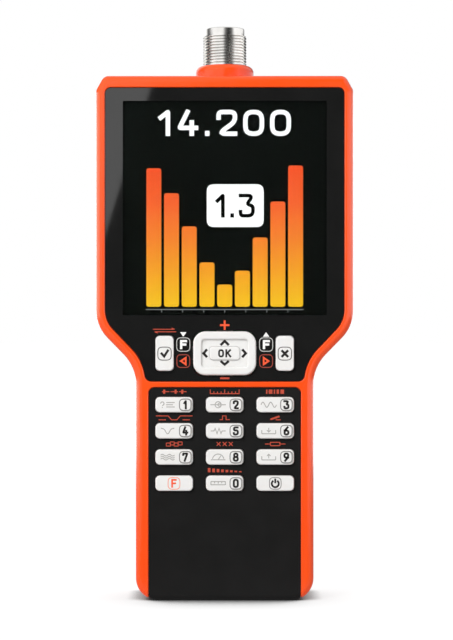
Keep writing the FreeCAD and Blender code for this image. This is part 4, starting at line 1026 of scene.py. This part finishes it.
# %% Picture on the display
BAR_HEIGHTS = (50, 41, 29, 16, 8, 13, 25, 38, 51)
BAR_WIDTH, BAR_STEP = 5.4, 6.4
NUMBER_Z, TAG_X, TAG_Z, AXIS_Z = 172.4, 3.8, 142.5, 105.0
columns = [block((i - 4) * BAR_STEP, BASE_Z + height / 2, BAR_WIDTH, height, 1.0)
           for i, height in enumerate(BAR_HEIGHTS)]
number = lettering("14.200", 0, NUMBER_Z, 9.5, 7.6, 1.65, gap=2.1, radius=2.7)
tag = lettering("1.3", TAG_X, TAG_Z, 8.6, 5.8, 1.3, gap=1.5, radius=1.9)
ticks = [stroke([(x * 7.6, AXIS_Z - 1.1), (x * 7.6, AXIS_Z)], 0.3) for x in range(-3, 4)]
for name, layers in (
        ("bars", [(lit_bars, columns)]),
        ("frequency", [(lit_white, number)]),
        ("tag", [(lit_white, [block(TAG_X, TAG_Z, 20.6, 15.5, 2.6)]), (display_glass, tag)]),
        ("scale", [(lit_grey, [stroke(across(-28.5, 28.5, AXIS_Z), 0.35), *ticks])])):
    printed("display_" + name, "case", GLASS_Y, layers)
print("display picture in 4 layers")

# %% [markdown]
# The socket is turned from brass and plated with bright nickel. The solid of the model has
# ten plain rings for a thread, which is enough to grip it. Here the thread becomes a real
# helix: the rows of the mesh climb one pitch for every turn. At both ends the helix is cut
# off flat, as a lathe leaves it, so a row that would pass the end stays at that height.

# %% Thread of the socket
STEPS = 96
PITCH = 1.058
CREST_R, ROOT_R = 7.94, 7.29
THREAD_LOW, THREAD_HIGH = 194.46, 205.26
PROFILE = ((0.06, 0.0), (0.22, 0.86), (0.27, 1.0), (0.75, 1.0), (0.80, 0.86), (0.96, 0.0))
ROWS = len(PROFILE)
TURNS, SPARE_TURNS = 13, 2      # the spare turns start below the thread and are cut off there


def rise_at(along):
    """Height of the tooth at a place along the pitch, from 0 at the root to 1 at the crest."""
    along %= 1.0
    for (before, low), (after, high) in zip(PROFILE, PROFILE[1:]):
        if before <= along <= after:
            return low + (high - low) * (along - before) / (after - before)
    return 0.0


def thread_point(column, row):
    """Place on the thread in mm; a flat plane cuts the tooth off at both ends."""
    turn = column / STEPS
    along, rise = PROFILE[row % ROWS]
    free_height = THREAD_LOW + (row // ROWS - SPARE_TURNS + turn + along) * PITCH
    height = min(max(free_height, THREAD_LOW), THREAD_HIGH)
    if height != free_height:
        cut = (height - THREAD_LOW) / PITCH - turn + SPARE_TURNS
        rise = min(rise, rise_at(cut)) if row // ROWS == math.floor(cut) else 0.0
    radius = ROOT_R + (CREST_R - ROOT_R) * rise
    angle = 2 * math.pi * turn
    return radius * math.cos(angle), radius * math.sin(angle), height


print("thread of", round((THREAD_HIGH - THREAD_LOW) / PITCH, 1), "turns")

# %% [markdown]
# Below the thread are a plain barrel and a square flange with round corners, and above it
# a plain ring at the mouth. They and the bore are rings of points, joined one to the next.
# The thread's points are joined the same way, and its ends then merge with the barrel.

# %% Body of the socket shell
FLANGE_CORNER = 1.5
TOUCHING = 0.008                # points closer than this are one


def flange_reach(half, angle):
    """Distance from the axis to the edge of a square with round corners."""
    x, y = abs(math.cos(angle)), abs(math.sin(angle))
    straight, centre = half / max(x, y), half - FLANGE_CORNER
    if min(x, y) * straight <= centre:
        return straight
    along = (x + y) * centre
    return along + math.sqrt(along ** 2 - 2 * centre ** 2 + FLANGE_CORNER ** 2)


def full_ring(radius, height):
    """A ring of points; a negative radius stands for the square flange."""
    places = []
    for i in range(STEPS):
        angle = 2 * math.pi * i / STEPS
        reach = radius if radius > 0 else flange_reach(-radius, angle)
        places.append(shell.verts.new((reach * math.cos(angle), reach * math.sin(angle), height)))
    return places


SHELL_RINGS = [
    (ROOT_R, THREAD_LOW), (7.0, 194.42), (7.0, 187.0), (-11.8, 187.0), (-12.0, 186.8),
    (-12.0, 185.4), (-11.8, 185.2), (6.8, 185.2), (6.8, 181.15), (6.65, 181.0), (6.35, 181.0),
    (6.2, 181.15),
    (6.2, 207.9), (6.32, 208.1), (6.44, 208.18), (6.85, 208.18), (7.05, 208.08), (7.17, 207.93),
    (7.2, 207.78), (7.2, 207.7), (7.2, 205.4), (7.2, 205.32), (ROOT_R, THREAD_HIGH)]
shell = bmesh.new()
rings = [full_ring(radius, height) for radius, height in SHELL_RINGS]
for lower, upper in zip(rings, rings[1:]):
    for i in range(STEPS):
        shell.faces.new((lower[i - 1], lower[i], upper[i], upper[i - 1]))
rows = ROWS * TURNS
grid = [[shell.verts.new(thread_point(column, row)) for row in range(rows)]
        for column in range(STEPS)]
for column in range(STEPS):
    after = grid[(column + 1) % STEPS]
    # after a full turn the helix is one pitch, or ROWS rows, higher
    shift = ROWS if column == STEPS - 1 else 0
    for row in range(rows - 1):
        if row + shift + 1 < rows:
            shell.faces.new((grid[column][row], after[row + shift],
                             after[row + shift + 1], grid[column][row + 1]))
bmesh.ops.remove_doubles(shell, verts=shell.verts, dist=TOUCHING)
bmesh.ops.delete(shell, geom=[v for v in shell.verts if not v.link_faces], context="VERTS")
bmesh.ops.scale(shell, vec=(MM, MM, MM), verts=shell.verts)
bmesh.ops.recalc_face_normals(shell, faces=shell.faces)
open_edges = sum(not edge.is_manifold for edge in shell.edges)
print("open edges on the shell:", open_edges, "faces", len(shell.faces))

# %% [markdown]
# Round walls should shade smoothly while the corners stay crisp, so every face is smooth
# and each edge sharper than 32 degrees is marked as sharp. The nickel shows faint rings
# from the turning tool below a bright plating.

# %% Nickel finish and the shell's object
SHARP = 32           # degrees
for face in shell.faces:
    face.smooth = True
for edge in shell.edges:
    edge.smooth = edge.calc_face_angle() <= math.radians(SHARP)
shell_mesh = bpy.data.meshes.new("socket_shell_threaded")
shell.to_mesh(shell_mesh)
shell.free()
socket_shell = in_scene("socket_shell_threaded", shell_mesh)
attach(socket_shell, "case")
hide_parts("rf_connector_shell")

socket_nickel = finish("socket_nickel_bright", (0.66, 0.65, 0.63), 0.10, metallic=1.0)
tint(socket_nickel, (0.004, 3), (0.62, 0.61, 0.59), (0.70, 0.69, 0.67))
polish(socket_nickel, (0.0008, 3, (1, 1, 3)), 0.07, 0.15)
relief(socket_nickel, (0.00035, 2, (0.15, 0.15, 4)), 0.0000006)
socket_shell.data.materials.append(socket_nickel)
wear(socket_nickel, "rf_connector_shell")
